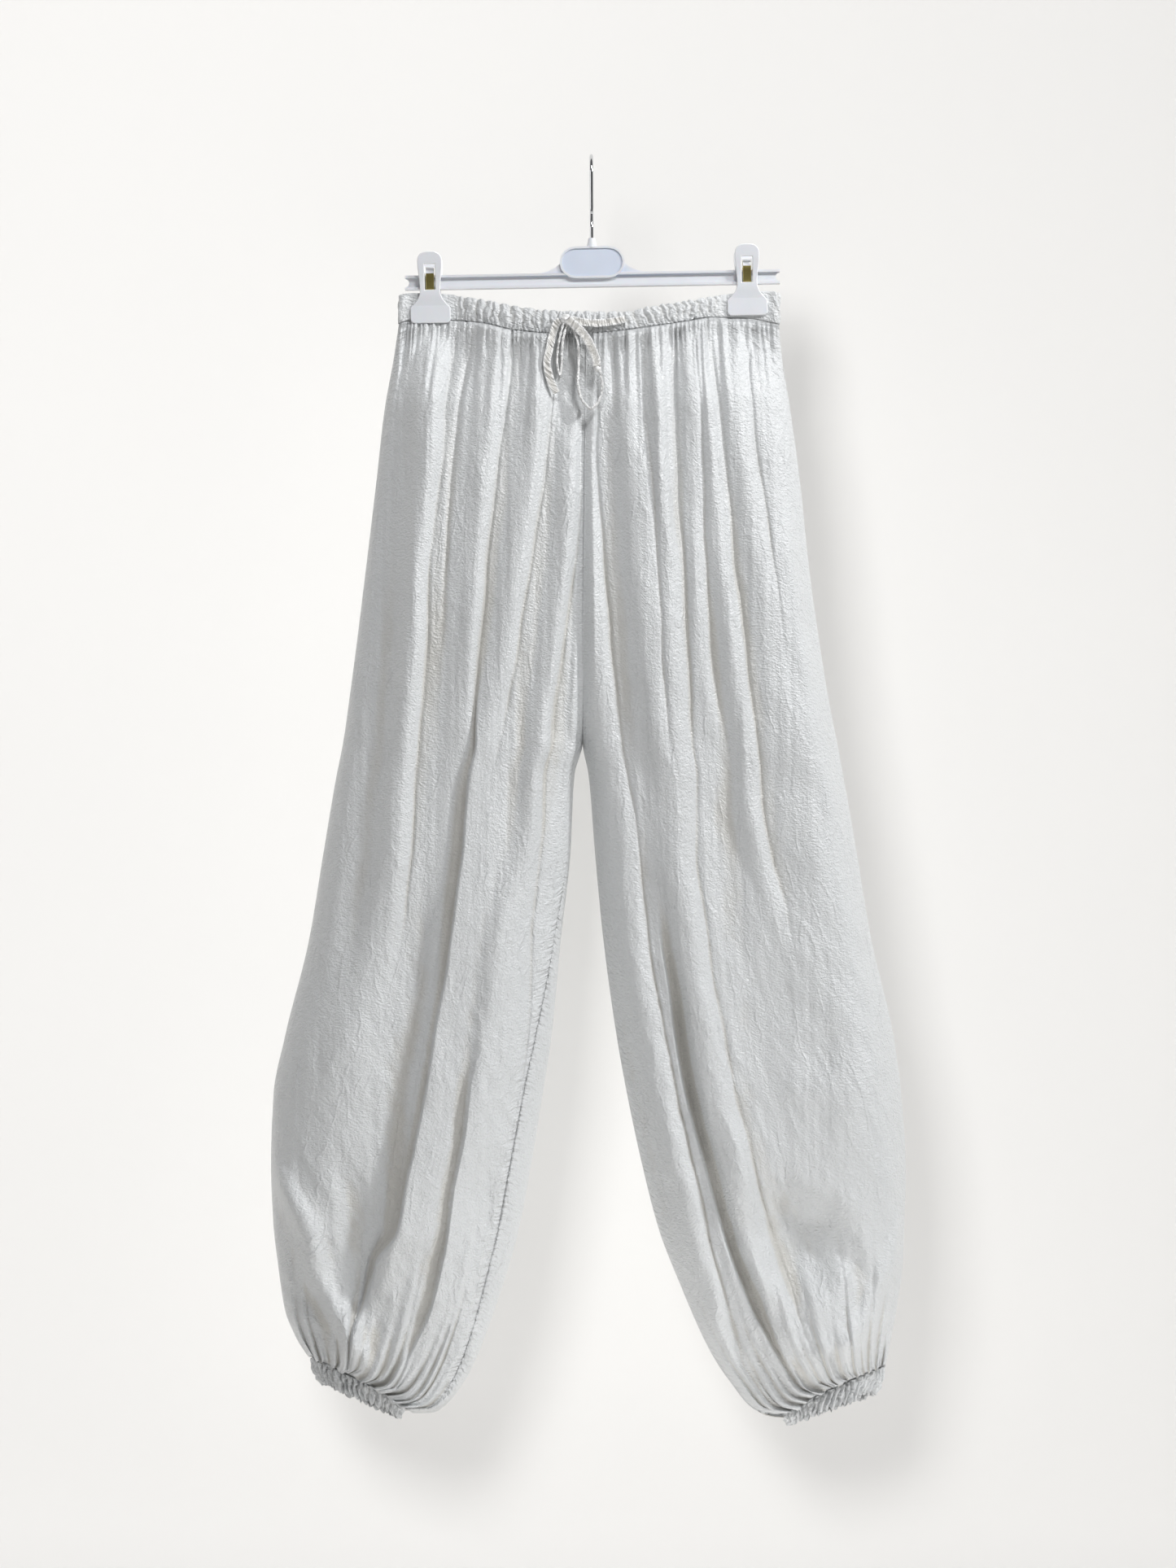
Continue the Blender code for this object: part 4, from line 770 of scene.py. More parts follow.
    def fold_height(self, down: Array, across: Array, x: Array, behind: bool) -> Array:
        """Sum of all folds at points of one layer, fading at its edges, clips and sewn ends.

        Args:
            down: Lengths down the leg.
            across: Shares of the leg's width.
            x: Places over the width, in millimetres.
            behind: Whether the panel is a back panel.

        Returns:
            Height over the panel's own form.
        """
        outer = self.ring["outer_x"](down)
        width = self.ring["inner_x"](down) - outer
        facing = -1.0 if behind else 1.0
        small = self.small_folds(down, across, x, behind)
        total = np.zeros_like(x)
        for fold in self.folds[int(behind)]:
            track = SmoothCurve(fold.track)
            total = total + fold.raised(down, facing * (x - outer - width * track(down)))
        for sag in self.sags[int(behind)]:
            total = total + sag.raised(down, across)
        ends = smooth(across / EDGE_FADE) * smooth((1 - across) / EDGE_FADE)
        held = 1 - pinch(x) * (1 - since(down, CLIP_FREES_FOLDS))
        close = 1 - pinch(x) * (1 - since(down, CLIP_FREES_SMALL))
        sewn = since(down, WAIST_SEWN) * floored(smooth((self.length - down) / HEM_SEWN), 0.1)
        return (total * floored(ends, 0.12) * held + small * floored(ends, 0.35) * close) * sewn

    def point(self, down: Array, around: Array, plain: bool = False) -> Array:
        """Outer face of the cloth.

        Args:
            down: Lengths down the leg.
            around: Nought to one over the front, one to two over the back.
            plain: Leave the folds out.

        Returns:
            Points in millimetres, one row of three for each place.
        """
        down, around = np.broadcast_arrays(np.asarray(down, float), np.mod(around, 2.0))
        behind = around > 1
        across = ring_share(np.where(around <= 1, around, 2 - around))
        value = {name: curve(down) for name, curve in self.ring.items()}
        first = {name: float(curve(0.0)) for name, curve in self.ring.items()}
        x, z, seam_x, seam_z = (
            ring["outer_" + axis] + (ring["inner_" + axis] - ring["outer_" + axis]) * across
            for ring in (value, first) for axis in "xz")
        z = z + (WAIST_BOTTOM(seam_x) - SEAM_GAP - seam_z) * (1 - smooth(down / SEAM_BLEND))
        depth = np.where(behind, value["back"], value["front"])
        centre = value["centre"] / depth
        inward = np.clip((1 - across) / value["round"], 0.0, 1.0)
        inner = (1 - centre) * ellipse_end(inward) + centre * smooth(inward)
        section = depth * ellipse_end(across / value["round"]) * (centre + (1 - centre) * inner)
        opened = smooth((down - FLAT_DOWN) / SECTION_BLEND)
        level = (1 - opened) * waist_depth(seam_x) + opened * section
        if not plain:
            front = self.fold_height(down, across, x, False) if not behind.all() else 0.0
            back = self.fold_height(down, across, x, True) if behind.any() else 0.0
            folded = np.where(behind, back, front)
            room = np.maximum(level - THIN_LIMIT, 0.05)
            level = level + np.where(folded < 0, room * np.tanh(folded / room), folded)
            away = self.length - down
            even, uneven, swelling = SMALL.hem_wave
            wave = even + uneven * self.crinkle.at(across * SMALL.hem_waves + 50 * behind, 0.7)
            wave = wave + swelling * hump((across - SMALL.hem_swell[0]) / SMALL.hem_swell[1])
            droop = smooth(away / SMALL.hem_rise) * (1 - since(away, SMALL.hem_fall)) * np.maximum(wave, 0.1)
            level = level + SMALL.hem_droop[0] * droop
            z = z - SMALL.hem_droop[1] * droop
        y = np.where(behind, 1.0, -1.0) * level
        tip = CUFF_TIP * smooth((down - (self.length - CUFF_TIP_REACH)) / CUFF_TIP_REACH)
        z = z - tip * (y + value["front"])
        return np.stack([x, y, z], axis=-1)


LEFT_LEG = LegForm(LEFT_RINGS, LEFT_WRAP, (LEFT_FRONT_FOLDS, LEFT_BACK_FOLDS),
                   (LEFT_FRONT_SAGS, LEFT_BACK_SAGS), 11, 1.0)
RIGHT_LEG = LegForm(RIGHT_RINGS, RIGHT_WRAP, (RIGHT_FRONT_FOLDS, RIGHT_BACK_FOLDS),
                    (RIGHT_FRONT_SAGS, RIGHT_BACK_SAGS), 29, -1.0)


def grid_mesh(name: str, points: Array, flip: bool, closed: tuple[bool, bool] = (False, False),
              values: dict[str, Array] | None = None) -> Mesh:
    """Lay a grid on points, with a UV map in metres of cloth.

    Args:
        name: The mesh's name.
        points: Rows and columns of points in millimetres.
        flip: Turn the faces round.
        closed: Whether the last row meets the first, and the last column the first.
        values: Numbers to store on the points, by attribute name.

    Returns:
        The mesh, in metres.
    """
    rows, columns = points.shape[:2]
    grid = bmesh.new()
    grid.loops.layers.uv.new("cloth")
    bmesh.ops.create_grid(grid, x_segments=columns - 1, y_segments=rows - 1, size=1.0)
    mesh = bpy.data.meshes.new(name)
    grid.to_mesh(mesh)
    grid.free()
    flat = np.empty(len(mesh.vertices) * 3)
    mesh.vertices.foreach_get("co", flat)
    flat = flat.reshape(-1, 3)
    j = np.rint((flat[:, 0] + 1) / 2 * (columns - 1)).astype(int)
    i = np.rint((flat[:, 1] + 1) / 2 * (rows - 1)).astype(int)
    mesh.vertices.foreach_set("co", (points[i, j] * MM).ravel())
    along = np.zeros((rows, columns))
    along[1:] = np.cumsum(np.linalg.norm(np.diff(points, axis=0), axis=-1), axis=0)
    wide = np.zeros((rows, columns))
    wide[:, 1:] = np.cumsum(np.linalg.norm(np.diff(points, axis=1), axis=-1), axis=1)
    wide -= wide[:, columns // 2][:, None]
    corner = np.empty(len(mesh.loops), dtype=np.int64)
    mesh.loops.foreach_get("vertex_index", corner)
    uv = np.stack([wide[i, j], -along[i, j]], axis=-1)[corner] * MM
    mesh.uv_layers["cloth"].data.foreach_set("uv", uv.ravel())
    for key, numbers in (values or {}).items():
        layer = mesh.attributes.new(key, "FLOAT", "POINT")
        layer.data.foreach_set("value", np.ascontiguousarray(numbers[i, j], dtype=np.float32))
    work = bmesh.new()
    work.from_mesh(mesh)
    if any(closed):
        bmesh.ops.remove_doubles(work, verts=work.verts, dist=1e-7)
    if flip:
        bmesh.ops.reverse_faces(work, faces=work.faces)
    work.to_mesh(mesh)
    work.free()
    mesh.shade_smooth()
    return mesh


def add_piece(name: str, mesh: Mesh, material: Material) -> Object:
    """Put a mesh in the scene as a piece that rides on the object.

    Args:
        name: The piece's name.
        mesh: Its mesh, already in place.
        material: Its finish.

    Returns:
        The new object.
    """
    piece = bpy.data.objects.new(name, mesh)
    bpy.context.scene.collection.objects.link(piece)
    mesh.materials.clear()
    mesh.materials.append(material)
    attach(piece, "root")
    return piece


@dataclass
class LegPanel:
    """One cut panel of a leg, from the waist seam to the cuff seam.

    A crease or hollow is told by the columns on both sides that it lies below, and from how deep it
    counts; that depth is stored as painted shade, weaker just below the waist.
    """

    name: str
    node: str
    leg: LegForm
    behind: bool
    guides: tuple[Table, ...] = ()
    columns: int = 222
    rows: int = 220
    flat: Pair = (0.290, 1.0)
    wall: float = 0.8
    closer_waist: Pair = (1.7, 40.0)
    closer_hem: Pair = (1.3, 80.0)
    guide_limits: Pair = (0.02, 0.985)
    # Crease and hollow windows, least depths and spans of the painted shade, and where it grows in.
    crease: tuple[int, float, float] = (6, 0.5, 2.5)
    hollow: tuple[int, float, float] = (17, 1.4, 3.6)
    crease_shows: Pair = (50.0, 220.0)
    seam_reach: float = 11.0
    inseam_shows: Pair = (430.0, 100.0)
    side_shows: Triple = (0.3, 0.6, 70.0)

    def rows_down(self) -> Array:
        """Place the rows, closer at the two gathered ends.

        Returns:
            Lengths down the leg.
        """
        fine = np.linspace(0.0, self.leg.length, 2000)
        (waist, waist_reach), (hem, hem_reach) = self.closer_waist, self.closer_hem
        density = 1 + waist * np.exp(-fine / waist_reach)
        density = density + hem * np.exp(-(self.leg.length - fine) / hem_reach)
        total = np.concatenate([[0.0], np.cumsum((density[1:] + density[:-1]) / 2)])
        return np.interp(np.linspace(0, total[-1], self.rows), total, fine)

    def columns_around(self, down: Array) -> Array:
        """Place the columns, some of them led along the crisp creases.

        Args:
            down: Lengths down the leg of the rows.

        Returns:
            Their places round the leg, a row each.
        """
        side = ring_place(np.clip(self.leg.side_wrap(down), 1e-9, 1))
        inseam = ring_place(np.clip(self.leg.inseam_wrap(down), 1e-9, 1))
        inseam = np.where(self.leg.inseam_wrap(down) > 0, inseam, 0.0)
        marks = [ring_place(np.clip(SmoothCurve(guide)(down), *self.guide_limits)) for guide in self.guides]
        turned = -1.0 if self.behind else 1.0
        first, last = turned * side, 1 - turned * inseam
        stops = np.stack([first] + [np.clip(mark, first + 0.01, last - 0.01) for mark in marks] + [last])
        share = np.linspace(0, 1, self.columns)
        keys = np.concatenate([[0.0], stops[1:-1].mean(axis=1), [1.0]])
        keys = np.rint(keys * (self.columns - 1)) / (self.columns - 1)
        placed = np.array([np.interp(share, keys, stops[:, k]) for k in range(len(down))])
        if not self.behind:
            return placed
        placed = np.where(inseam[:, None] > 0, placed, np.minimum(placed, 1 - 1e-6))
        return (2 - placed)[:, ::-1]

    def shading(self, points: Array, base: Array, down: Array) -> dict[str, Array]:
        """How deep each point lies in a crease, stored as painted shade, and how near a long seam.

        Args:
            points: The folded panel's points.
            base: The same points without folds.
            down: Lengths down the leg.

        Returns:
            Numbers from nought to one for each point, by attribute name.
        """
        height = np.abs(points[..., 1]) - np.abs(base[..., 1])
        crease, hollow = (smooth((row_mean(height, half) - height - least) / span)
                          for half, least, span in (self.crease, self.hollow))
        step = np.linalg.norm(np.diff(points, axis=1), axis=-1)
        run = np.concatenate([np.zeros((len(step), 1)), np.cumsum(step, axis=1)], axis=1)
        inseam_run, side_run = (run, run[:, -1:] - run) if self.behind else (run[:, -1:] - run, run)
        inseam = np.exp(-inseam_run / self.seam_reach) * floored(since(down, self.inseam_shows), 0.12)
        even, more, reach = self.side_shows
        side = np.exp(-side_run / self.seam_reach) * (even + more * np.exp(-down / reach))
        # Painted shade in creases and hollows, weaker just below the waist.
        below_waist = floored(since(down, self.crease_shows), 0.2)
        return {"painted_shade": below_waist * np.maximum(crease, hollow), "seam": np.maximum(inseam, side)}

    def build(self, finish: Material) -> Object:
        """Make the panel.

        Args:
            finish: The cloth's material.

        Returns:
            The panel.
        """
        down = self.rows_down()
        around = self.columns_around(down)
        down = np.broadcast_to(down[:, None], around.shape)
        points = self.leg.point(down, around)
        base = self.leg.point(down, around, plain=True)
        for edge, neighbour in ((0, 1), (-1, -2)):
            step = points[:, neighbour] - points[:, edge]
            points[:, edge] += step * (SEAM_GAP / 2 / np.linalg.norm(step, axis=-1, keepdims=True))
        mesh = grid_mesh(self.name, points, self.leg.outward > 0, values=self.shading(points, base, down))
        piece = add_piece(self.name, mesh, finish)
        change = piece.modifiers.new("wall", "SOLIDIFY")
        change.thickness = self.wall * MM
        change.offset = -1.0
        change.use_even_offset = False
        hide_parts(self.node)
        return piece


@dataclass(frozen=True)
class Ribs:
    """Uneven ribs of a gathered casing along its length.

    A stray is how far the ribs wander, the length of its waves and how many there are over the height.
    """

    seed: int
    length: float
    pitch: Pair
    tall: Pair = (0.55, 1.15)
    peak: Pair = (0.35, 0.68)
    roundness: float = 0.75
    strays: Table = ((3.6, 15.0, 1.9), (1.3, 4.5, 4.0))

    def at(self, along: Array, high: float) -> tuple[Array, Array]:
        """Shape of the ribs.

        Args:
            along: Places along the casing.
            high: Share of its height.

        Returns:
            Their height, nought in a crease and one on a rib, and how tall each rib stands.
        """
        draw = np.random.default_rng(self.seed)
        steps = draw.uniform(*self.pitch, int(self.length / self.pitch[0]) + 4)
        edges = np.concatenate([[0.0], np.cumsum(steps)])
        edges = edges[: np.searchsorted(edges, self.length) + 1]
        edges *= self.length / edges[-1]
        tall = draw.uniform(*self.tall, len(edges))
        peak = draw.uniform(*self.peak, len(edges))
        wander = Crinkle(self.seed)
        placed = along
        for stray, length, waves in self.strays:
            placed = placed + stray * wander.at(along / length, high * waves)
        placed = np.mod(placed, self.length)
        k = np.clip(np.searchsorted(edges, placed, side="right") - 1, 0, len(edges) - 2)
        t = (placed - edges[k]) / (edges[k + 1] - edges[k])
        t = np.where(t < peak[k], 0.5 * t / peak[k], 0.5 + 0.5 * (t - peak[k]) / (1 - peak[k]))
        return np.abs(np.sin(np.pi * t)) ** self.roundness, tall[k]


@dataclass
class Casing:
    """A strip of cloth folded double over elastic and gathered on it.

    The fold lists the share of the way inside of its rows, and the inner face has the share of the
    height at which it starts and its number of rows.
    """

    name: str
    node: str
    flat: Pair
    seed: int
    columns: int
    outer_rows: int
    fold: tuple[float, ...]
    inner: tuple[float, int]
    depth: float
    rib: float

    def profile(self) -> list[Pair]:
        """Run of the rows: up the outside, over the fold and back inside.

        Returns:
            Share of the height and share of the way inside, for each row.
        """
        rows = [(share, 0.0) for share in np.linspace(0.0, 1.0, self.outer_rows)]
        rows += [(1.0, share) for share in self.fold]
        rows += [(share, 1.0) for share in np.linspace(self.inner[0], 0.0, self.inner[1])]
        return rows + [(0.0, 0.5), (0.0, 0.0)]

    def tucked(self, out: Array, inside: float) -> Array:
        """How far out a row stands: the rib outside, a calmer wall of its own inside."""
        return out * (1 - inside) + (-self.depth * 0.9 + 0.3 * out) * inside

    def turned(self) -> bool:
        """Whether the mesh's faces have to be turned to point outwards."""
        return False

    def rows(self) -> list[tuple[Array, Array]]:
        """Points of each row and how deep each lies for painted shade, given by each kind of casing."""
        raise NotImplementedError

    def build(self, finish: Material) -> Object:
        """Make the casing.

        Args:
            finish: The cloth's material.

        Returns:
            The casing.
        """
        # The depth of each row's points goes on as painted shade.
        points, shade_depths = (np.array(part) for part in zip(*self.rows()))
        points[:, -1] = points[:, 0]
        points[-1] = points[0]
        mesh = grid_mesh(self.name, points, self.turned(), (True, True), {"painted_shade": shade_depths})
        piece = add_piece(self.name, mesh, finish)
        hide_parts(self.node)
        return piece


@dataclass
class WaistBand(Casing):
    """The waist's gathered casing.

    The cloth is tighter at its lower seam, by a share that fades over the height, and at the knot. It
    leans over to the right of the knot, and a crumple is its height, wave and waves over the height.
    """

    name: str = "waist_casing"
    node: str = "waistband"
    flat: Pair = (0.80, 0.0215)
    seed: int = 5
    columns: int = 1180
    outer_rows: int = 20
    fold: tuple[float, ...] = (0.25, 0.5, 0.75, 1.0)
    inner: tuple[float, int] = (0.85, 8)
    depth: float = 2.2
    rib: float = 4.0
    pitch: Pair = (4.8, 11.0)
    tuck_pitch: Pair = (2.6, 5.0)
    knot: Pair = (-20.0, 60.0)
    lean: Triple = (7.0, -10.0, 60.0)
    tight: tuple[float, float, float, float] = (0.55, 0.22, 0.18, 0.25)
    swell: float = 1.5
    crumple: Triple = (0.55, 3.4, 5.0)
    top_drop: float = 2.6

    def rows(self) -> list[tuple[Array, Array]]:
        """Shape the rows, flatter under the clips and finer at the knot.

        Returns:
            Points of each row and how deep each lies, for painted shade between the ribs.
        """
        around = np.linspace(0.0, 2.0, self.columns)
        x = WAIST_LEFT + (WAIST_RIGHT - WAIST_LEFT) * ring_share(np.where(around <= 1, around, 2 - around))
        y = np.where(around <= 1, -1.0, 1.0) * waist_depth(x)
        along = np.concatenate([[0.0], np.cumsum(np.hypot(np.diff(x), np.diff(y)))])
        tangent = np.stack([np.gradient(x), np.gradient(y)], axis=-1)
        tangent[0] = tangent[-1] = (0.0, -1.0)
        tangent = unit(tangent)
        free = 1 - 0.9 * pinch(x)
        near_knot = smooth(1 - np.abs(x - self.knot[0]) / self.knot[1]) * (around <= 1)
        lean = self.lean[0] * since(x, self.lean[1:]) * (around <= 1)
        seam_tight, seam_share, even_tight, knot_tight = self.tight
        uneven, wave, waves = self.crumple
        coarse = Ribs(self.seed, along[-1], self.pitch)
        fine = Ribs(self.seed + 1, along[-1], self.tuck_pitch)
        made = []
        for high, inside in self.profile():
            place = along + lean * (high - 0.5)
            ribs, tall = coarse.at(place, high)
            tight = seam_tight * math.exp(-((high / seam_share) ** 2)) + even_tight + knot_tight * near_knot
            shape = (1 - tight) * ribs * tall + tight * fine.at(place, high)[0]
            swell = self.swell * math.sin(math.pi * min(high * 0.9 + 0.06, 1.0)) ** 0.8
            out = free * (self.rib * (shape - 0.62) * (0.55 + 0.45 * math.sin(math.pi * high)) + swell)
            out = out + 0.35 * (1 - free) + uneven * free * WANDER.at(along / wave, high * waves)
            out = self.tucked(out, inside)
            top = WAIST_TOP(x) - self.top_drop * free * (1 - shape) * high + 0.6
            bottom = WAIST_BOTTOM(x) + 0.5 * free * (shape - 0.5)
            z = bottom + (top - bottom) * high + 0.8 * math.sin(math.pi * inside) * high
            px = x + tangent[:, 1] * out + 0.35 * free * np.sin(9.0 * high + along / 3.0)
            # Painted shade in the creases between the ribs, less under the clips.
            shade_depths = np.clip((0.6 - shape) * free * 1.2, 0, 1)
            made.append((np.stack([px, y - tangent[:, 0] * out, z], axis=-1), shade_depths))
        return made


@dataclass
class Cuff(Casing):
    """The gathered casing at a leg's hem."""

    flat: Pair = (0.20, 0.026)
    seed: int = 0
    columns: int = 620
    outer_rows: int = 16
    fold: tuple[float, ...] = (0.3, 0.6, 1.0)
    inner: tuple[float, int] = (0.8, 6)
    depth: float = 1.9
    rib: float = 5.2
    leg: LegForm = LEFT_LEG
    pitch: Pair = (3.4, 8.0)
    swell: float = 1.9
    crumples: Table = ((1.6, 3.0, 0.0, 4.0), (1.2, 1.6, 7.0, 5.0))
    scallop: float = 4.2

    def turned(self) -> bool:
        """The left leg's faces have to be turned."""
        return self.leg.outward > 0

    def rows(self) -> list[tuple[Array, Array]]:
        """Shape the rows on the plain leg's last rings.

        Returns:
            Points of each row and how deep each lies, for painted shade between the ribs.
        """
        around = np.linspace(0.0, 2.0, self.columns)
        top, bottom = self.leg.length + CUFF_GAP, self.leg.cuff_end

        def ring(down: float) -> Array:
            """One closed ring of the plain leg."""
            points = self.leg.point(np.full_like(around, down), around, plain=True)
            points[-1] = points[0]
            return points

        middle = ring((top + bottom) / 2)
        tangent = np.gradient(middle, axis=0)
        tangent[0] = tangent[-1] = middle[1] - middle[-2]
        normal = unit(self.leg.outward * np.cross(ring(bottom) - ring(top), tangent))
        along = travelled(middle)
        ribs_of = Ribs(self.seed, along[-1], self.pitch)
        made = []
        for low, inside in self.profile():
            ribs, tall = ribs_of.at(along, low)
            shape = ribs * tall
            out = self.rib * (shape - 0.6) + self.swell * math.sin(math.pi * low)
            for uneven, wave, start, waves in self.crumples:
                out = out + uneven * WANDER.at(along / wave + start, low * waves + self.seed)
            out = self.tucked(out, inside)
            drop = np.array([0.0, 0.0, -1.0]) * (self.scallop * (shape - 0.5) * low)[:, None]
            points = ring(top + (bottom - top) * low) + normal * out[:, None] + drop
            # Painted shade in the creases between the ribs.
            made.append((points, np.clip((0.5 - shape) * 0.9, 0, 1)))
        return made


class ClothFront:
    """Finds how far forward the finished cloth lies."""

    def __init__(self, pieces: list[Object]) -> None:
        """Gather the faces of some pieces.

        Args:
            pieces: The cloth that the string lies on.
        """
        cloth = bmesh.new()
        for piece in pieces:
            cloth.from_mesh(piece.data)
        self.tree = BVHTree.FromBMesh(cloth)
        cloth.free()

    def at(self, x: float, z: float, reach: float) -> float:
        """Find the foremost cloth near a point seen from the front.

        Args:
            x: Place across, in millimetres.
            z: Height, in millimetres.
            reach: How far round the point to look.

        Returns:
            Foremost y, in millimetres.
        """
        front = 0.0
        for step_x in (-reach, 0.0, reach):
            for step_z in (-reach, 0.0, reach):
                start = Vector((x + step_x, -300.0, z + step_z)) * MM
                hit = self.tree.ray_cast(start, Vector((0.0, 1.0, 0.0)))[0]
                if hit:
                    front = min(front, hit.y / MM)
        return front


def strand_mesh(name: str, path: Array, section: tuple[Array, ...],
                values: dict[str, Array] | None = None) -> Mesh:
    """A closed strand along a path.

    Args:
        name: The mesh's name.
        path: Points in millimetres.
        section: Directions across and out at each point, and how far the section's points lie in each.
        values: Numbers to store on the points, by attribute name.

    Returns:
        The mesh, in metres, closed at both ends.
    """
    across, out, wide, thick = section
    points = path[:, None] + across[:, None] * wide[..., None]
    points = points + out[:, None] * thick[..., None]
    points[:, -1] = points[:, 0]
    mesh = grid_mesh(name, points, False, (False, True), values)
    work = bmesh.new()
    work.from_mesh(mesh)
    bmesh.ops.holes_fill(work, edges=[edge for edge in work.edges if edge.is_boundary], sides=0)
    bmesh.ops.recalc_face_normals(work, faces=work.faces)
    work.to_mesh(mesh)
    work.free()
    mesh.shade_smooth()
    return mesh


class StringLay(Enum):
    """How a stretch of the flat string lies."""

    FLAT = "flat"
    EDGE = "edge"


@dataclass(frozen=True)
class StringRun:
    """A stretch of the drawstring: x, z and how far off the cloth its middle lies."""

    name: str
    nodes: tuple[str, ...]
    lay: StringLay
    rows: Table
    far_end: str
    width: float = 7.6
    thick: float = 1.9


STRING_RUNS = (
    StringRun("drawstring_lead", ("string_lead",), StringLay.FLAT,
              ((31.1, -150.8, 1.6), (19.1, -153.4, 2.2), (4.9, -155.0, 2.6), (-9.4, -153.9, 2.8),
               (-18.0, -152.2, 3.8)), "knot"),
    StringRun("drawstring_tail_left", ("string_tail_left", "string_tip_left"), StringLay.FLAT,
              ((-28.5, -152.8, 3.6), (-31.3, -154.8, 3.2), (-33.9, -160.8, 2.6), (-36.3, -169.5, 2.6),
               (-38.6, -180.8, 2.8), (-40.6, -192.0, 2.8), (-38.8, -202.7, 3.0), (-36.4, -210.9, 3.0),
               (-34.2, -215.2, 3.0), (-31.8, -219.6, 2.8)), "bare"),
    StringRun("drawstring_loop_left", ("string_loop_left",), StringLay.EDGE,
              ((-21.8, -155.6, 5.0), (-25.3, -168.0, 5.0), (-26.9, -181.9, 4.6), (-27.3, -193.9, 4.4),
               (-29.0, -202.5, 4.4), (-31.1, -193.9, 4.4), (-30.8, -180.0, 4.6), (-28.6, -167.4, 5.0),
               (-25.3, -155.6, 5.0)), "object", width=5.6, thick=2.6),
    StringRun("drawstring_tail_right", ("string_tail_right",), StringLay.FLAT,
              ((-21.6, -152.0, 8.4), (-16.1, -157.0, 9.6), (-11.6, -161.5, 10.6), (-5.6, -168.4, 10.6),
               (0.0, -178.5, 10.2), (3.8, -187.5, 10.6), (5.2, -196.1, 11.4)), "knot", width=8.4),
    StringRun("drawstring_loop_right", ("string_loop_right",), StringLay.EDGE,
              ((-17.6, -155.8, 5.0), (-12.0, -176.0, 6.8), (-11.6, -195.8, 8.4), (-12.0, -213.0, 9.0),
               (-7.9, -227.2, 9.0), (-0.4, -234.8, 8.6), (6.8, -228.0, 8.6), (10.1, -216.0, 8.6),
               (8.6, -203.2, 8.0), (4.9, -188.2, 7.4), (-3.4, -172.4, 6.4), (-13.6, -155.6, 5.2)),
              "object", width=6.0, thick=2.9),
)


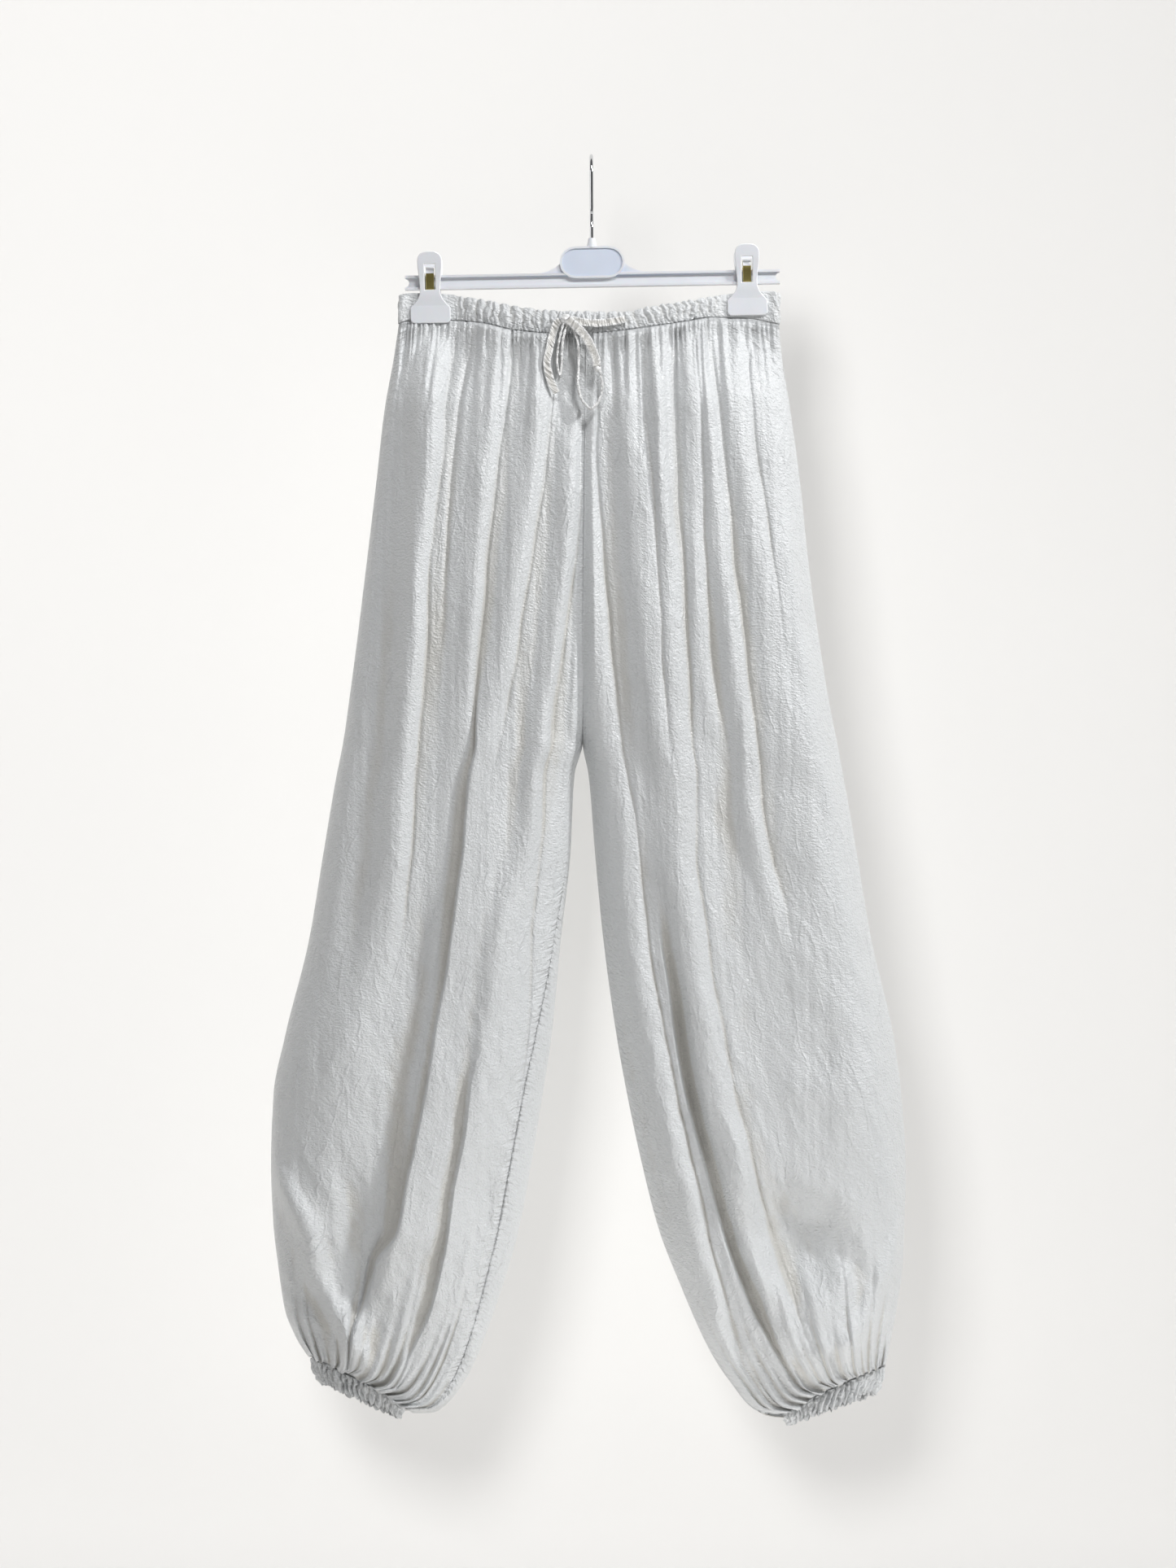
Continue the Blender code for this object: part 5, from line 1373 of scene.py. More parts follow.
@dataclass
class Drawstring:
    """The tied drawstring: its lead, two loops, two tails and the knots."""

    front: ClothFront
    finish: Material
    step: float = 0.8
    sides: int = 20
    even_over: float = 7.0
    edge_reach: float = 1.5

    def middle(self, run: StringRun) -> Array:
        """Lay the middle of a stretch on the cloth.

        Args:
            run: The stretch.

        Returns:
            Points in millimetres, a step apart.
        """
        rows = np.asarray(run.rows, float)
        length = travelled(rows[:, :2])
        along = np.linspace(0.0, length[-1], max(24, round(length[-1] / self.step)))
        x, z, off = (cubic(length, rows[:, index], np.gradient(rows[:, index], length), along)
                     for index in range(3))
        reach = run.width / 2 if run.lay is StringLay.FLAT else self.edge_reach
        face = np.array([self.front.at(a, b, reach) for a, b in zip(x, z)])
        window = max(3, 2 * round(self.even_over / self.step / 2) + 1)
        padded = np.pad(face, window // 2, mode="edge")
        face = np.array([padded[k:k + window].min() for k in range(len(face))])
        face = np.convolve(np.pad(face, window // 2, mode="edge"), np.ones(window) / window, mode="valid")
        return np.stack([x, face - off, z], axis=-1)

    def strand(self, run: StringRun) -> Object:
        """Args:
            run: Its table of places and its sizes.

        Returns:
            The stretch of string.
        """
        path = self.middle(run)
        along = unit(np.gradient(path, axis=0))
        forward = np.tile(np.array([0.0, -1.0, 0.0]), (len(path), 1))
        across = np.cross(along, forward) if run.lay is StringLay.FLAT else forward
        across = unit(across - along * np.sum(across * along, axis=1, keepdims=True))
        travel = travelled(path)
        lump = Crinkle(len(run.name) * 7)
        angle = np.linspace(0, 2 * np.pi, self.sides + 1)
        puckers = lump.at(travel[:, None] / 2.3, np.cos(angle)[None, :] * 0.9 + 4)
        uneven = 0.94 + 0.09 * lump.at(travel / 5.0, 0.3) + 0.07 * lump.at(travel / 1.7, 2.3)
        half_width = run.width / 2 * uneven
        half_thick = run.thick / 2 * (1 + 0.62 * puckers)
        a = np.sign(np.cos(angle)) * np.abs(np.cos(angle)) ** 0.7
        b = np.sign(np.sin(angle)) * np.abs(np.sin(angle)) ** 0.6 * (0.62 + 0.5 * a * a)
        # Painted shade along the middle of the flat string, none at its edges.
        painted_shade = np.broadcast_to(np.clip(1.15 - 1.6 * a * a, 0.0, 1.0), puckers.shape)
        section = (across, np.cross(along, across), half_width[:, None] * a, half_thick * b[None, :])
        mesh = strand_mesh(run.name, path, section, {"painted_shade": painted_shade, "seam": np.full(painted_shade.shape, 0.8)})
        piece = add_piece(run.name, mesh, self.finish)
        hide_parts(*run.nodes)
        return piece

    def knot(self, name: str, node: str, wraps: float, turn: float) -> Object:
        """Make a tied lump of string where its node lies.

        Args:
            name: The knot's name.
            node: The node that it stands for.
            wraps: Strands of string seen side by side.
            turn: Direction of the strands, in degrees.

        Returns:
            The knot.
        """
        low, high = (np.array(corner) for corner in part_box(node))
        lump = bmesh.new()
        bmesh.ops.create_uvsphere(lump, u_segments=48, v_segments=32, radius=1.0)
        direction = math.radians(turn)
        for vertex in lump.verts:
            x, y, z = vertex.co
            lane = (x * math.cos(direction) + z * math.sin(direction)) * wraps * math.pi / 2
            crossing = z * math.cos(direction) - x * math.sin(direction)
            rib = abs(math.cos(lane + 0.9 * crossing * crossing)) ** 0.6
            band = 0.13 * max(0.0, math.cos(2.4 * crossing + 0.4))
            vertex.co = vertex.co * (0.84 + 0.16 * rib + band)
        bmesh.ops.scale(lump, vec=Vector((high - low) / 2), verts=lump.verts)
        bmesh.ops.translate(lump, vec=Vector((high + low) / 2), verts=lump.verts)
        mesh = bpy.data.meshes.new(name)
        lump.to_mesh(mesh)
        lump.free()
        mesh.shade_smooth()
        piece = add_piece(name, mesh, self.finish)
        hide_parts(node)
        return piece

    def build(self) -> list[Object]:
        """Make every stretch and knot."""
        knots = (("bow_knot", "string_knot", 3.0, 62.0), ("end_knot_left", "string_end_left", 2.2, 35.0),
                 ("end_knot_right", "string_end_right", 2.2, -30.0))
        return [self.strand(run) for run in STRING_RUNS] + [self.knot(*knot) for knot in knots]


def add_group(name: str, inputs: dict[str, float], outputs: tuple[str, ...]) -> ShaderNodeTree:
    """Start a shader node group with number inputs and outputs.

    Args:
        name: The group's name.
        inputs: Usual value of each input, by name.
        outputs: Names of the outputs.

    Returns:
        The group, without nodes.
    """
    group = bpy.data.node_groups.new(name, "ShaderNodeTree")
    for key, value in inputs.items():
        socket = group.interface.new_socket(key, in_out="INPUT", socket_type="NodeSocketFloat")
        socket.default_value = value
    for key in outputs:
        group.interface.new_socket(key, in_out="OUTPUT", socket_type="NodeSocketFloat")
    return group


class NodeWriter:
    """Short calls that add and join shader nodes. A value is a socket to join or a number to set."""

    def __init__(self, tree: ShaderNodeTree) -> None:
        """Keep the tree to write in."""
        self.tree = tree

    def feed(self, node: Node, inputs: dict[str | int, object]) -> None:
        """Join or set some of a node's inputs.

        Args:
            node: The node.
            inputs: Values by input, told by name or number.
        """
        for key, value in inputs.items():
            if isinstance(value, NodeSocket):
                self.tree.links.new(value, node.inputs[key])
            else:
                node.inputs[key].default_value = value

    def add(self, kind: str, inputs: dict[str | int, object] | None = None,
            **settings: object) -> Node:
        """Add a node.

        Args:
            kind: The node's type.
            inputs: Values by input.
            settings: The node's own settings.

        Returns:
            The node.
        """
        node = self.tree.nodes.new(kind)
        for key, value in settings.items():
            setattr(node, key, value)
        self.feed(node, inputs or {})
        return node

    def math(self, operation: str, first: object, second: object) -> NodeSocket:
        """Work on two values."""
        return self.add("ShaderNodeMath", {0: first, 1: second}, operation=operation).outputs[0]

    def times(self, first: object, second: object) -> NodeSocket:
        """Multiply two values."""
        return self.math("MULTIPLY", first, second)

    def plus(self, first: object, second: object) -> NodeSocket:
        """Add two values."""
        return self.math("ADD", first, second)

    def over(self, value: object, limit: float) -> NodeSocket:
        """How far a value lies over a limit, nought below it."""
        return self.math("MAXIMUM", self.math("SUBTRACT", value, limit), 0.0)

    def mix(self, share: object, first: object, second: object, blend: str = "MIX") -> NodeSocket:
        """Mix two colours or places."""
        inputs = {"Fac": share, "Color1": first, "Color2": second}
        return self.add("ShaderNodeMixRGB", inputs, blend_type=blend).outputs["Color"]

    def noise(self, vector: object, scale: object, detail: float) -> NodeSocket:
        """Value of a noise texture."""
        inputs = {"Vector": vector, "Scale": scale, "Detail": detail}
        return self.add("ShaderNodeTexNoise", inputs).outputs["Fac"]

    def cracks(self, vector: object, scale: float) -> NodeSocket:
        """Distance to the edges of uneven cells."""
        inputs = {"Vector": vector, "Scale": scale}
        return self.add("ShaderNodeTexVoronoi", inputs, feature="DISTANCE_TO_EDGE").outputs["Distance"]

    def laid(self, vector: object, scale: tuple[float, ...], turn: float = 0.0,
             start: float = 0.0) -> NodeSocket:
        """Scale, turn and move places over the cloth.

        Args:
            vector: The places.
            scale: Waves in a metre, each way.
            turn: Turn, in radians.
            start: Move, both ways.

        Returns:
            The new places.
        """
        inputs = {"Vector": vector, "Scale": scale, "Rotation": (0.0, 0.0, turn),
                  "Location": (start, start, 0.0)}
        return self.add("ShaderNodeMapping", inputs).outputs["Vector"]

    def stored(self, name: str) -> NodeSocket:
        """A number stored on the piece's points."""
        return self.add("ShaderNodeAttribute", attribute_name=name).outputs["Fac"]


@dataclass(frozen=True)
class WashedCloth:
    """Fine crinkles, grain and slubs of washed cloth. Scales count waves in a metre."""

    coarse: Pair = (230.0, 3.0)
    fine: Pair = (540.0, 2.0)
    crease_scale: float = 105.0
    crease_bend: Pair = (40.0, 0.02)
    crease_width: float = 0.18
    slub: Triple = (240.0, 620.0, 1.0)
    wrinkle_parts: Pair = (0.48, 0.85)
    hairlines: Table = ((0.5, 62.0, 20.0, 0.0), (-0.8, 50.0, 17.0, 3.7))
    hair_bend: float = 0.006
    hair_steepness: float = 12.0
    hair_patch: Pair = (22.0, 0.42)
    hair_height: float = 1.55
    grain_parts: Pair = (0.7, 0.8)
    ladder: Triple = (70.0, 270.0, 1.0)
    ladder_power: float = 1.4
    ladder_height: float = 4.5
    stitch_from: float = 0.84
    stitch_height: float = -3.5

    def make(self) -> ShaderNodeTree:
        """Make the node group.

        Returns:
            The group, which gives a height and a tone.
        """
        group = add_group("washed_cloth", {"Crinkle": 1.0, "Slub": 1.0}, ("Height", "Tone"))
        write = NodeWriter(group)
        inside = write.add("NodeGroupInput")
        outside = write.add("NodeGroupOutput")
        place = write.add("ShaderNodeTexCoord").outputs["Object"]
        cloth = write.add("ShaderNodeUVMap", uv_map="cloth").outputs["UV"]
        bend = {"Scale": self.crease_bend[0], "Vector": place}
        bend = write.add("ShaderNodeTexNoise", bend).outputs["Color"]
        bent = write.mix(self.crease_bend[1], place, bend, "LINEAR_LIGHT")
        edge = write.math("SMOOTH_MIN", write.cracks(bent, self.crease_scale), self.crease_width)
        coarse = write.times(write.noise(place, *self.coarse), self.wrinkle_parts[0])
        wrinkles = write.plus(coarse, write.times(edge, self.wrinkle_parts[1]))
        for turn, across, along, start in self.hairlines:
            bent = write.mix(self.hair_bend, cloth, bend, "LINEAR_LIGHT")
            hair = write.cracks(write.laid(bent, (across, along, 1.0), turn, start), 1.0)
            away = write.math("MINIMUM", write.times(hair, self.hair_steepness), 1.0)
            patch = write.over(write.noise(place, self.hair_patch[0] + start, 1.0), self.hair_patch[1])
            crease = write.times(write.math("SUBTRACT", 1.0, away), patch)
            wrinkles = write.plus(wrinkles, write.times(crease, self.hair_height))
        wrinkles = write.times(wrinkles, inside.outputs["Crinkle"])
        slub = write.noise(write.laid(cloth, self.slub), 1.0, 2.0)
        fine = write.noise(place, *self.fine)
        grain = write.plus(write.times(fine, self.grain_parts[0]), write.times(slub, self.grain_parts[1]))
        grain = write.times(grain, inside.outputs["Slub"])
        seam = write.stored("seam")
        rungs = write.math("SUBTRACT", write.noise(write.laid(cloth, self.ladder), 1.0, 1.0), 0.5)
        rungs = write.times(rungs, write.math("POWER", seam, self.ladder_power))
        rungs = write.times(rungs, self.ladder_height)
        stitched = write.times(write.over(seam, self.stitch_from), self.stitch_height)
        wrinkles = write.plus(wrinkles, write.plus(rungs, stitched))
        write.feed(outside, {"Height": write.plus(wrinkles, grain), "Tone": slub})
        return group


@dataclass(frozen=True)
class HandlingMarks:
    """Marks of handling on a hard surface. Scales count waves in a metre."""

    broad: Pair = (45.0, 3.0)
    fine_scale: float = 220.0
    fine_detail: float = 4.0
    parts: Pair = (0.6, 0.4)

    def make(self) -> ShaderNodeTree:
        """Make the node group.

        Returns:
            The group, which gives a change of roughness, a tone and a height.
        """
        group = add_group("handling_marks", {"Scale": self.fine_scale}, ("Rough", "Tone", "Height"))
        write = NodeWriter(group)
        inside = write.add("NodeGroupInput")
        outside = write.add("NodeGroupOutput")
        place = write.add("ShaderNodeTexCoord").outputs["Object"]
        broad = write.noise(place, *self.broad)
        fine = write.noise(place, inside.outputs["Scale"], self.fine_detail)
        rough = write.plus(write.times(broad, self.parts[0]), write.times(fine, self.parts[1]))
        write.feed(outside, {"Rough": rough, "Tone": broad, "Height": fine})
        return group


def new_material(name: str) -> tuple[Material, NodeWriter, Node]:
    """Start a material.

    Args:
        name: The material's name.

    Returns:
        The material, a writer for its nodes and its shader.
    """
    material = bpy.data.materials.new(name)
    material.use_nodes = True
    return material, NodeWriter(material.node_tree), material.node_tree.nodes["Principled BSDF"]


@dataclass(frozen=True)
class SatinFinish:
    """Washed viscose satin, darkened towards a warm grey by painted shade where points lie in creases."""

    name: str
    light: Triple = (0.772, 0.790, 0.798)
    dark: Triple = (0.724, 0.738, 0.746)
    # Painted shade: its colour in the creases, and the most of it that is mixed in.
    painted_shade: Triple = (0.64, 0.622, 0.575)
    painted_shade_share: float = 0.78
    roughness: float = 0.31
    rough_change: float = 0.12
    bump_strength: float = 0.9
    bump: float = 0.0014
    crinkle: float = 1.0
    sheen: float = 0.05
    sheen_roughness: float = 0.4
    shine: float = 0.9

    def make(self, group: ShaderNodeTree) -> Material:
        """Make the material.

        Args:
            group: The washed cloth group.

        Returns:
            The material.
        """
        material, write, shader = new_material(self.name)
        cloth = write.add("ShaderNodeGroup", {"Crinkle": self.crinkle}, node_tree=group)
        tone = write.mix(cloth.outputs["Tone"], (*self.light, 1.0), (*self.dark, 1.0))
        # Painted shade: the stored crease depth mixes the colour towards the shade colour.
        deep = write.times(write.stored("painted_shade"), self.painted_shade_share)
        rough = write.times(cloth.outputs["Tone"], self.rough_change)
        bump = write.add("ShaderNodeBump", {"Strength": self.bump_strength, "Distance": self.bump,
                                            "Height": cloth.outputs["Height"]})
        write.feed(shader, {
            "Base Color": write.mix(deep, tone, (*self.painted_shade, 1.0)),
            "Roughness": write.plus(rough, self.roughness - self.rough_change / 2),
            "Normal": bump.outputs["Normal"],
            "Sheen Weight": self.sheen,
            "Sheen Roughness": self.sheen_roughness,
            "Specular IOR Level": self.shine,
        })
        return material


@dataclass(frozen=True)
class HardFinish:
    """Moulded plastic, chrome or brass."""

    name: str
    light: Triple
    dark: Triple
    roughness: float
    rough_change: float
    metallic: float = 0.0
    bump_strength: float = 0.5
    bump: float = 0.00003
    coat: float = 0.0
    subsurface: float = 0.0
    subsurface_scale: float = 0.002
    # Painted shade: a darker, bluer tone multiplied in where points are marked as lying in a recess.
    recess_shade: Triple = (0.86, 0.91, 1.0)

    def make(self, group: ShaderNodeTree) -> Material:
        """Make the material.

        Args:
            group: The handling marks group.

        Returns:
            The material.
        """
        material, write, shader = new_material(self.name)
        marks = write.add("ShaderNodeGroup", node_tree=group)
        tone = write.mix(marks.outputs["Tone"], (*self.dark, 1.0), (*self.light, 1.0))
        rough = write.times(marks.outputs["Rough"], self.rough_change)
        bump = write.add("ShaderNodeBump", {"Strength": self.bump_strength, "Distance": self.bump,
                                            "Height": marks.outputs["Height"]})
        write.feed(shader, {
            "Base Color": write.mix(write.stored("recess_shade"), tone, (*self.recess_shade, 1.0), "MULTIPLY"),
            "Roughness": write.plus(rough, self.roughness - self.rough_change / 2),
            "Normal": bump.outputs["Normal"],
            "Metallic": self.metallic,
            "Coat Weight": self.coat,
            "Subsurface Weight": self.subsurface,
            "Subsurface Scale": self.subsurface_scale,
        })
        return material


SATIN = SatinFinish("washed_satin")
# Painted light: the string is the same cloth, made paler here so it reads brighter than the legs.
LIT_STRING_SATIN = SatinFinish("lit_string_satin", light=(0.96, 0.962, 0.955), dark=(0.91, 0.913, 0.905),
                           crinkle=0.4, sheen=0.3)
PLASTIC = HardFinish("moulded_plastic", (0.84, 0.86, 0.895), (0.79, 0.81, 0.85), 0.30, 0.10,
                     coat=0.15, subsurface=0.1)
# Painted highlight: a whiter copy of the plastic, put on the mouldings' rounded edges.
PLASTIC_EDGE_HIGHLIGHT = HardFinish("plastic_edge_painted_highlight", (0.95, 0.955, 0.97), (0.91, 0.92, 0.94), 0.26, 0.10, coat=0.2)
CHROME = HardFinish("chrome_plate", (0.70, 0.71, 0.72), (0.62, 0.63, 0.65), 0.10, 0.06, metallic=1.0)
BRASS = HardFinish("spring_brass", (0.86, 0.74, 0.30), (0.66, 0.54, 0.16), 0.22, 0.14, metallic=1.0)


def hard_piece(node: str, name: str, finishes: tuple[Material, ...],
               bevel: tuple[float, float, int, int]) -> Object:
    """Make a moulded or pressed piece on its node's form, with rounded edges.

    Args:
        node: The node that it stands for.
        name: The piece's name.
        finishes: Its own finish and a second one.
        bevel: Width of the rounding, the angle of the edges it takes, its segments and its finish.

    Returns:
        The piece.
    """
    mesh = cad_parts[node].data.copy()
    mesh.name = name
    work = bmesh.new()
    work.from_mesh(mesh)
    bmesh.ops.remove_doubles(work, verts=work.verts, dist=2e-6)
    bmesh.ops.dissolve_limit(work, angle_limit=math.radians(0.6), use_dissolve_boundaries=False,
                             verts=work.verts, edges=work.edges, delimit=set())
    work.to_mesh(mesh)
    work.free()
    piece = add_piece(name, mesh, finishes[0])
    mesh.materials.append(finishes[1])
    width, angle, segments, finish = bevel
    change = piece.modifiers.new("rounded_edges", "BEVEL")
    change.width = width * MM
    change.segments = segments
    change.limit_method = "ANGLE"
    change.angle_limit = math.radians(angle)
    change.harden_normals = False
    # The rounded edges take the second finish by number, on the mouldings a painted highlight.
    change.material = finish
    mesh.shade_smooth()
    mesh.set_sharp_from_angle(angle=math.radians(angle))
    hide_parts(node)
    return piece


@dataclass
class Hanger:
    """The moulded bar with its wings and oval plate, and the wire hook. Plate sizes are halves."""

    plastic: Material
    edge_highlight: Material
    chrome: Material
    centre: Pair = (1.1, -112.5)
    plate_up: float = 16.1
    plate: Pair = (29.5, 13.5)
    # Half length, half height and depth of the plate's recess that takes the painted shade.
    recess_shade: Triple = (29.0, 13.4, 0.5)
    rounding: tuple[float, float, int, int] = (0.7, 35.0, 2, 1)
    tilt: float = math.radians(1.0)
    wire: float = 1.7
    hook_radius: float = 20.0
    boss_z: float = -74.0
    stem: Pair = (-82.7, -66.0)
    neck: float = 42.0
    tip_z: float = -55.0
    tip_out: Pair = (2.0, 2.2)
    end_round: Pair = (0.85, 0.45)
    sides: int = 24

    def bar(self) -> Object:
        """Make the bar, and mark its plate's recess for a painted shade.

        Returns:
            The bar.
        """
        finishes = (self.plastic, self.edge_highlight)
        piece = hard_piece("hanger_bar", "hanger_bar_moulding", finishes, self.rounding)
        middle_x, middle_z = self.centre[0] * MM, (self.centre[1] + self.plate_up) * MM
        away = [(abs(v.co.x - middle_x), v.co.y, abs(v.co.z - middle_z)) for v in piece.data.vertices]
        front = max(y for x, y, z in away if x < self.plate[0] * MM and z < self.plate[1] * MM)
        half_long, half_high, deep = (size * MM for size in self.recess_shade)
        # Painted shade: points inside the plate's recess are marked for a darker, bluer tone.
        layer = piece.data.attributes.new("recess_shade", "FLOAT", "POINT")
        for number, (x, y, z) in enumerate(away):
            inside = x < half_long and z < half_high and abs(y) < front - deep
            layer.data[number].value = 1.0 if inside else 0.0
        return piece

    def hook(self) -> Object:
        """Make the hook.

        Returns:
            The hook.
        """
        radius, top = self.hook_radius, self.wire - self.hook_radius
        boss_x = self.centre[0] - math.tan(self.tilt) * (self.boss_z - self.centre[1])
        lean = boss_x / (self.boss_z - self.wire)
        route = [(0.0, z) for z in np.linspace(*self.stem, 8)]
        neck, drop = np.linspace(0, 1, 22)[1:-1], np.linspace(0, 1, 14)[1:]
        route += [(radius * float(smooth(t)), self.stem[1] + self.neck * t) for t in neck]
        route += [(radius * math.cos(a), top + radius * math.sin(a)) for a in np.linspace(0, math.pi, 49)]
        out, power = self.tip_out
        route += [(-radius - out * t ** power, top + (self.tip_z - top) * t) for t in drop]
        path = np.array([(lean * (z - self.wire), y, z) for y, z in route])
        half = np.full((len(path), 1), self.wire)
        half[-2:, 0] *= self.end_round
        across = np.tile(np.array([1.0, 0.0, 0.0]), (len(path), 1))
        out = unit(np.cross(unit(np.gradient(path, axis=0)), across))
        angle = np.linspace(0, 2 * np.pi, self.sides + 1)
        mesh = strand_mesh("hook_wire", path, (across, out, half * np.cos(angle), half * np.sin(angle)))
        piece = add_piece("hook_wire", mesh, self.chrome)
        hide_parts("hanger_hook")
        return piece


@dataclass
class Clip:
    """One sliding clip: two jaws and a flat spring, whose top is capped with plastic."""

    side: str
    jaw_rounding: tuple[float, float, int, int] = (0.75, 40.0, 3, 1)
    spring_rounding: tuple[float, float, int, int] = (0.2, 40.0, 2, -1)
    cap: float = 5.8

    def build(self, plastic: Material, edge_highlight: Material,
              brass: Material) -> list[Object]:
        """Make the clip's three pieces.

        Args:
            plastic: The moulding's finish.
            edge_highlight: The finish of its rounded edges, a whiter plastic as painted highlight.
            brass: The spring's finish.

        Returns:
            The front jaw, the back jaw and the spring.
        """
        nodes = [f"clip_{self.side}_{part}" for part in ("front", "back", "spring")]
        made = [hard_piece(node, node + "_jaw", (plastic, edge_highlight), self.jaw_rounding)
                for node in nodes[:2]]
        band = hard_piece(nodes[2], nodes[2] + "_band", (brass, plastic), self.spring_rounding)
        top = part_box(nodes[2])[1][2]
        for face in band.data.polygons:
            face.material_index = 1 if face.center.z > top - self.cap * MM else 0
        return made + [band]


@dataclass(frozen=True)
class Lamp:
    """A square soft light: its place, side in metres, watts and colour, and what it lights."""

    name: str
    place: Triple
    size: float
    power: float
    colour: Triple
    backdrop_alone: bool = False
    shadow: bool = True


LAMPS = (
    Lamp("key", (2.50, -1.46, 1.40), 0.36, 60.0, (0.99, 0.995, 1.0)),
    Lamp("top", (0.50, -1.10, 1.10), 0.35, 16.0, (0.985, 0.99, 1.0)),
    Lamp("side", (-2.6, -1.1, 0.6), 1.0, 8.5, (1.0, 0.99, 0.99)),
    Lamp("low", (0.14, -0.25, -1.36), 0.7, 1.7, (1.0, 0.995, 0.99)),
    Lamp("backdrop", (-0.85, -2.5, 0.75), 1.0, 37.0, (1.0, 0.995, 0.985), True),
    Lamp("backdrop_even", (0.5, -4.6, -0.5), 4.0, 124.0, (1.0, 0.996, 0.988), True, False),
)


@dataclass
class Studio:
    """Camera, lights and a paper floor that sweeps up into a backdrop, in metres."""

    aim: Triple = (-0.003, 0.0, -0.5771)
    away: float = 3.0
    lens: float = 74.7
    sensor: float = 36.0
    lit_point: Triple = (0.0, 0.0, -0.6)
    room: tuple[float, float, float, float] = (0.975, 0.975, 1.0, 1.0)
    room_light: float = 0.125
    paper_light: tuple[float, float, float, float] = (0.865, 0.858, 0.845, 1.0)
    paper_dark: tuple[float, float, float, float] = (0.845, 0.838, 0.826, 1.0)
    paper_roughness: float = 0.9
    wall_away: float = 0.13
    floor_below: float = -1.40
    floor_front: float = -3.4
    bend: float = 0.12
    wall_high: float = 2.6
    half_wide: float = 3.2
    rows: int = 40

    def camera(self) -> None:
        """Place the camera at the photograph's viewing angle."""
        data = bpy.data.cameras.new("camera")
        data.lens = self.lens
        data.sensor_width = self.sensor
        camera = bpy.data.objects.new("camera", data)
        bpy.context.scene.collection.objects.link(camera)
        camera.location = (self.aim[0], -self.away, self.aim[2])
        camera.rotation_euler = (math.pi / 2, 0.0, 0.0)
        bpy.context.scene.camera = camera

    def light(self, lamp: Lamp, floor: Object) -> None:
        """Add a light, for the backdrop alone or for everything but the backdrop.

        Args:
            lamp: The light's facts.
            floor: The backdrop.
        """
        data = bpy.data.lights.new(lamp.name, "AREA")
        data.size = lamp.size
        data.energy = lamp.power
        data.color = lamp.colour
        data.use_shadow = lamp.shadow
        lit = bpy.data.objects.new(lamp.name, data)
        lit.visible_camera = False
        bpy.context.scene.collection.objects.link(lit)
        lit.location = lamp.place
        lit.rotation_euler = (Vector(self.lit_point) - Vector(lamp.place)).to_track_quat("-Z", "Y").to_euler()
        listed = bpy.data.collections.new(lamp.name + "_lights")
        listed.objects.link(floor)
        state = "INCLUDE" if lamp.backdrop_alone else "EXCLUDE"
        listed.collection_objects[0].light_linking.link_state = state
        lit.light_linking.receiver_collection = listed

    def air(self) -> None:
        """Set the even light of the room."""
        world = bpy.data.worlds.new("studio")
        world.use_nodes = True
        world.node_tree.nodes["Background"].inputs["Color"].default_value = self.room
        world.node_tree.nodes["Background"].inputs["Strength"].default_value = self.room_light
        bpy.context.scene.world = world

    def paper(self) -> Material:
        """Make the pale paper of the floor and backdrop, clear from behind.

        Returns:
            The paper's material.
        """
        material, write, shader = new_material("studio_paper")
        place = write.add("ShaderNodeTexCoord").outputs["Object"]
        tone = write.mix(write.noise(place, 3.0, 2.0), self.paper_light, self.paper_dark)
        write.feed(shader, {"Base Color": tone, "Roughness": self.paper_roughness})
        clear = write.add("ShaderNodeBsdfTransparent").outputs["BSDF"]
        behind = write.add("ShaderNodeNewGeometry").outputs["Backfacing"]
        mixed = write.add("ShaderNodeMixShader", {"Fac": behind, 1: shader.outputs["BSDF"], 2: clear})
        write.feed(material.node_tree.nodes["Material Output"], {"Surface": mixed.outputs["Shader"]})
        return material

    def backdrop(self) -> Object:
        """Lay the paper: half of its rows on the floor, a quarter in the bend, the rest on the wall.

        Returns:
            The backdrop.
        """
        sweep = bmesh.new()
        bmesh.ops.create_grid(sweep, x_segments=2, y_segments=self.rows, size=1.0)
        for vertex in sweep.verts:
            t = (vertex.co.y + 1) / 2
            if t < 0.5:
                run = self.wall_away - self.bend - self.floor_front
                y, z = self.floor_front + run * t / 0.5, self.floor_below
            elif t < 0.75:
                a = (t - 0.5) / 0.25 * math.pi / 2
                y = self.wall_away - self.bend + self.bend * math.sin(a)
                z = self.floor_below + self.bend - self.bend * math.cos(a)
            else:
                y, z = self.wall_away, self.floor_below + self.bend + self.wall_high * (t - 0.75) / 0.25
            vertex.co = Vector((vertex.co.x * self.half_wide, y, z))
        mesh = bpy.data.meshes.new("studio_sweep")
        sweep.to_mesh(mesh)
        sweep.free()
        mesh.shade_smooth()
        floor = bpy.data.objects.new("studio_sweep", mesh)
        bpy.context.scene.collection.objects.link(floor)
        mesh.materials.append(self.paper())
        return floor

    def build(self) -> None:
        """Set up the whole studio."""
        self.camera()
        floor = self.backdrop()
        for lamp in LAMPS:
            self.light(lamp, floor)
        self.air()
        bpy.context.scene.view_settings.view_transform = "Standard"


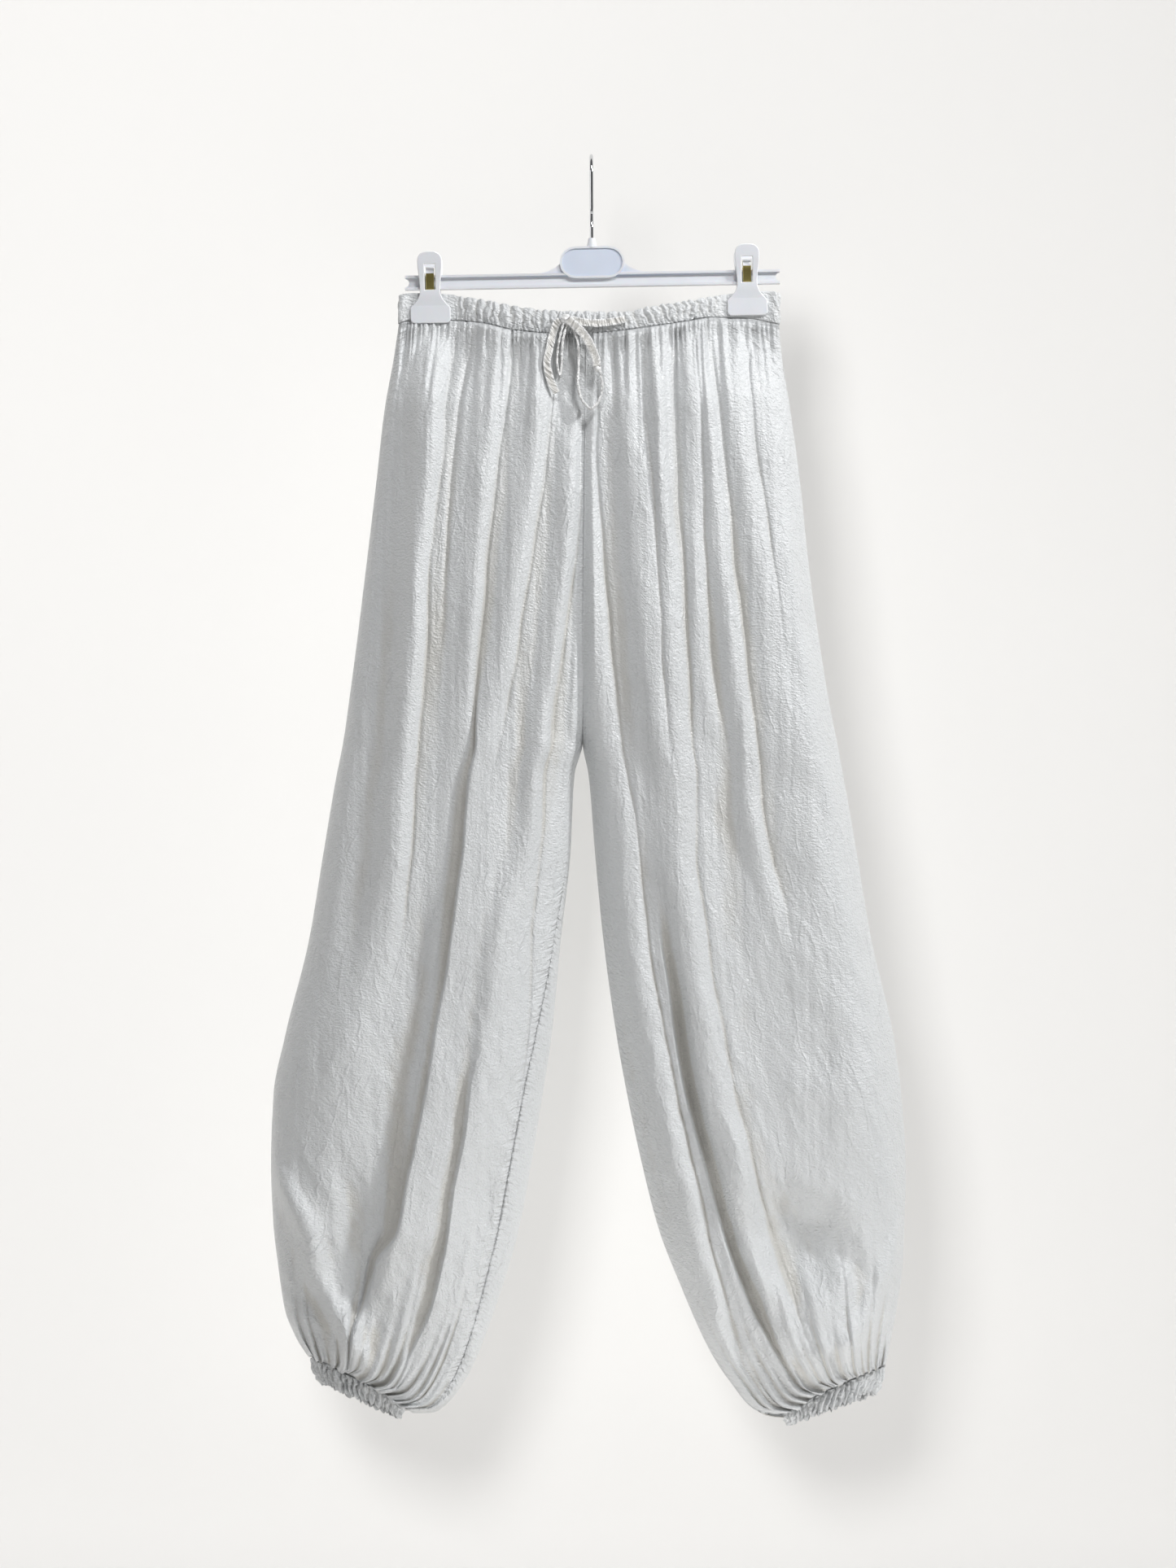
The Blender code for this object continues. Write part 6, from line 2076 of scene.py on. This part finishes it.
# Creases that the front panels' columns follow, from the outer edge: down, share of the width.
LEFT_GUIDES = (
    LEFT_FRONT_FOLDS[0].track, LEFT_MAIN,
    ((52, .824), (114, .812), (188, .772), (251, .734), (315, .700), (390, .690), (600, .715),
     (734, .725), (782, .717), (830, .711), (870, .708), (890, .707), (941, .651), (978, .60)),
)
RIGHT_GUIDES = (
    ((16, .166), (54, .191), (114, .200), (213, .167), (400, .16), (988, .16)),
    ((5, .363), (151, .343), (391, .324), (532, .310), (988, .31)), RIGHT_MAIN,
    ((5, .712), (134, .700), (316, .690), (640, .722), (736, .720), (812, .698), (865, .684),
     (901, .650), (929, .604), (988, .56)),
    ((77, .950), (190, .918), (305, .879), (410, .852), (584, .834), (751, .818), (802, .802),
     (868, .816), (920, .841), (948, .895)),
)


def cloth_pieces() -> list[LegPanel | Casing]:
    """The four leg panels, the waistband and the cuffs."""
    return [
        LegPanel("front_leg_left", "front_left", LEFT_LEG, False, LEFT_GUIDES),
        LegPanel("front_leg_right", "front_right", RIGHT_LEG, False, RIGHT_GUIDES),
        LegPanel("back_leg_left", "back_left", LEFT_LEG, True, columns=150, rows=210),
        LegPanel("back_leg_right", "back_right", RIGHT_LEG, True, columns=150, rows=210),
        WaistBand(),
        Cuff("cuff_casing_left", "cuff_left", seed=41, leg=LEFT_LEG),
        Cuff("cuff_casing_right", "cuff_right", seed=43, leg=RIGHT_LEG),
    ]


def main() -> None:
    """Build every piece in order and report it."""
    logging.basicConfig(level=logging.INFO, format="%(message)s")
    Studio().build()
    LOG.info("studio ready")
    weave, marks = WashedCloth().make(), HandlingMarks().make()
    satin, lit_string_satin = SATIN.make(weave), LIT_STRING_SATIN.make(weave)
    plastic, edge_highlight, chrome, brass = (finish.make(marks) for finish in (PLASTIC, PLASTIC_EDGE_HIGHLIGHT, CHROME, BRASS))
    made: dict[str, Object] = {}
    for cut in cloth_pieces():
        made[cut.name] = cut.build(satin)
        LOG.info("cloth %s", cut.name)
    front = ClothFront([made[name] for name in ("front_leg_left", "front_leg_right", "waist_casing")])
    for piece in Drawstring(front, lit_string_satin).build():
        LOG.info("string %s", piece.name)
    hanger = Hanger(plastic, edge_highlight, chrome)
    LOG.info("hanger %s and %s", hanger.bar().name, hanger.hook().name)
    for side in ("left", "right"):
        for piece in Clip(side).build(plastic, edge_highlight, brass):
            LOG.info("clip %s", piece.name)


if __name__ == "__main__":
    main()
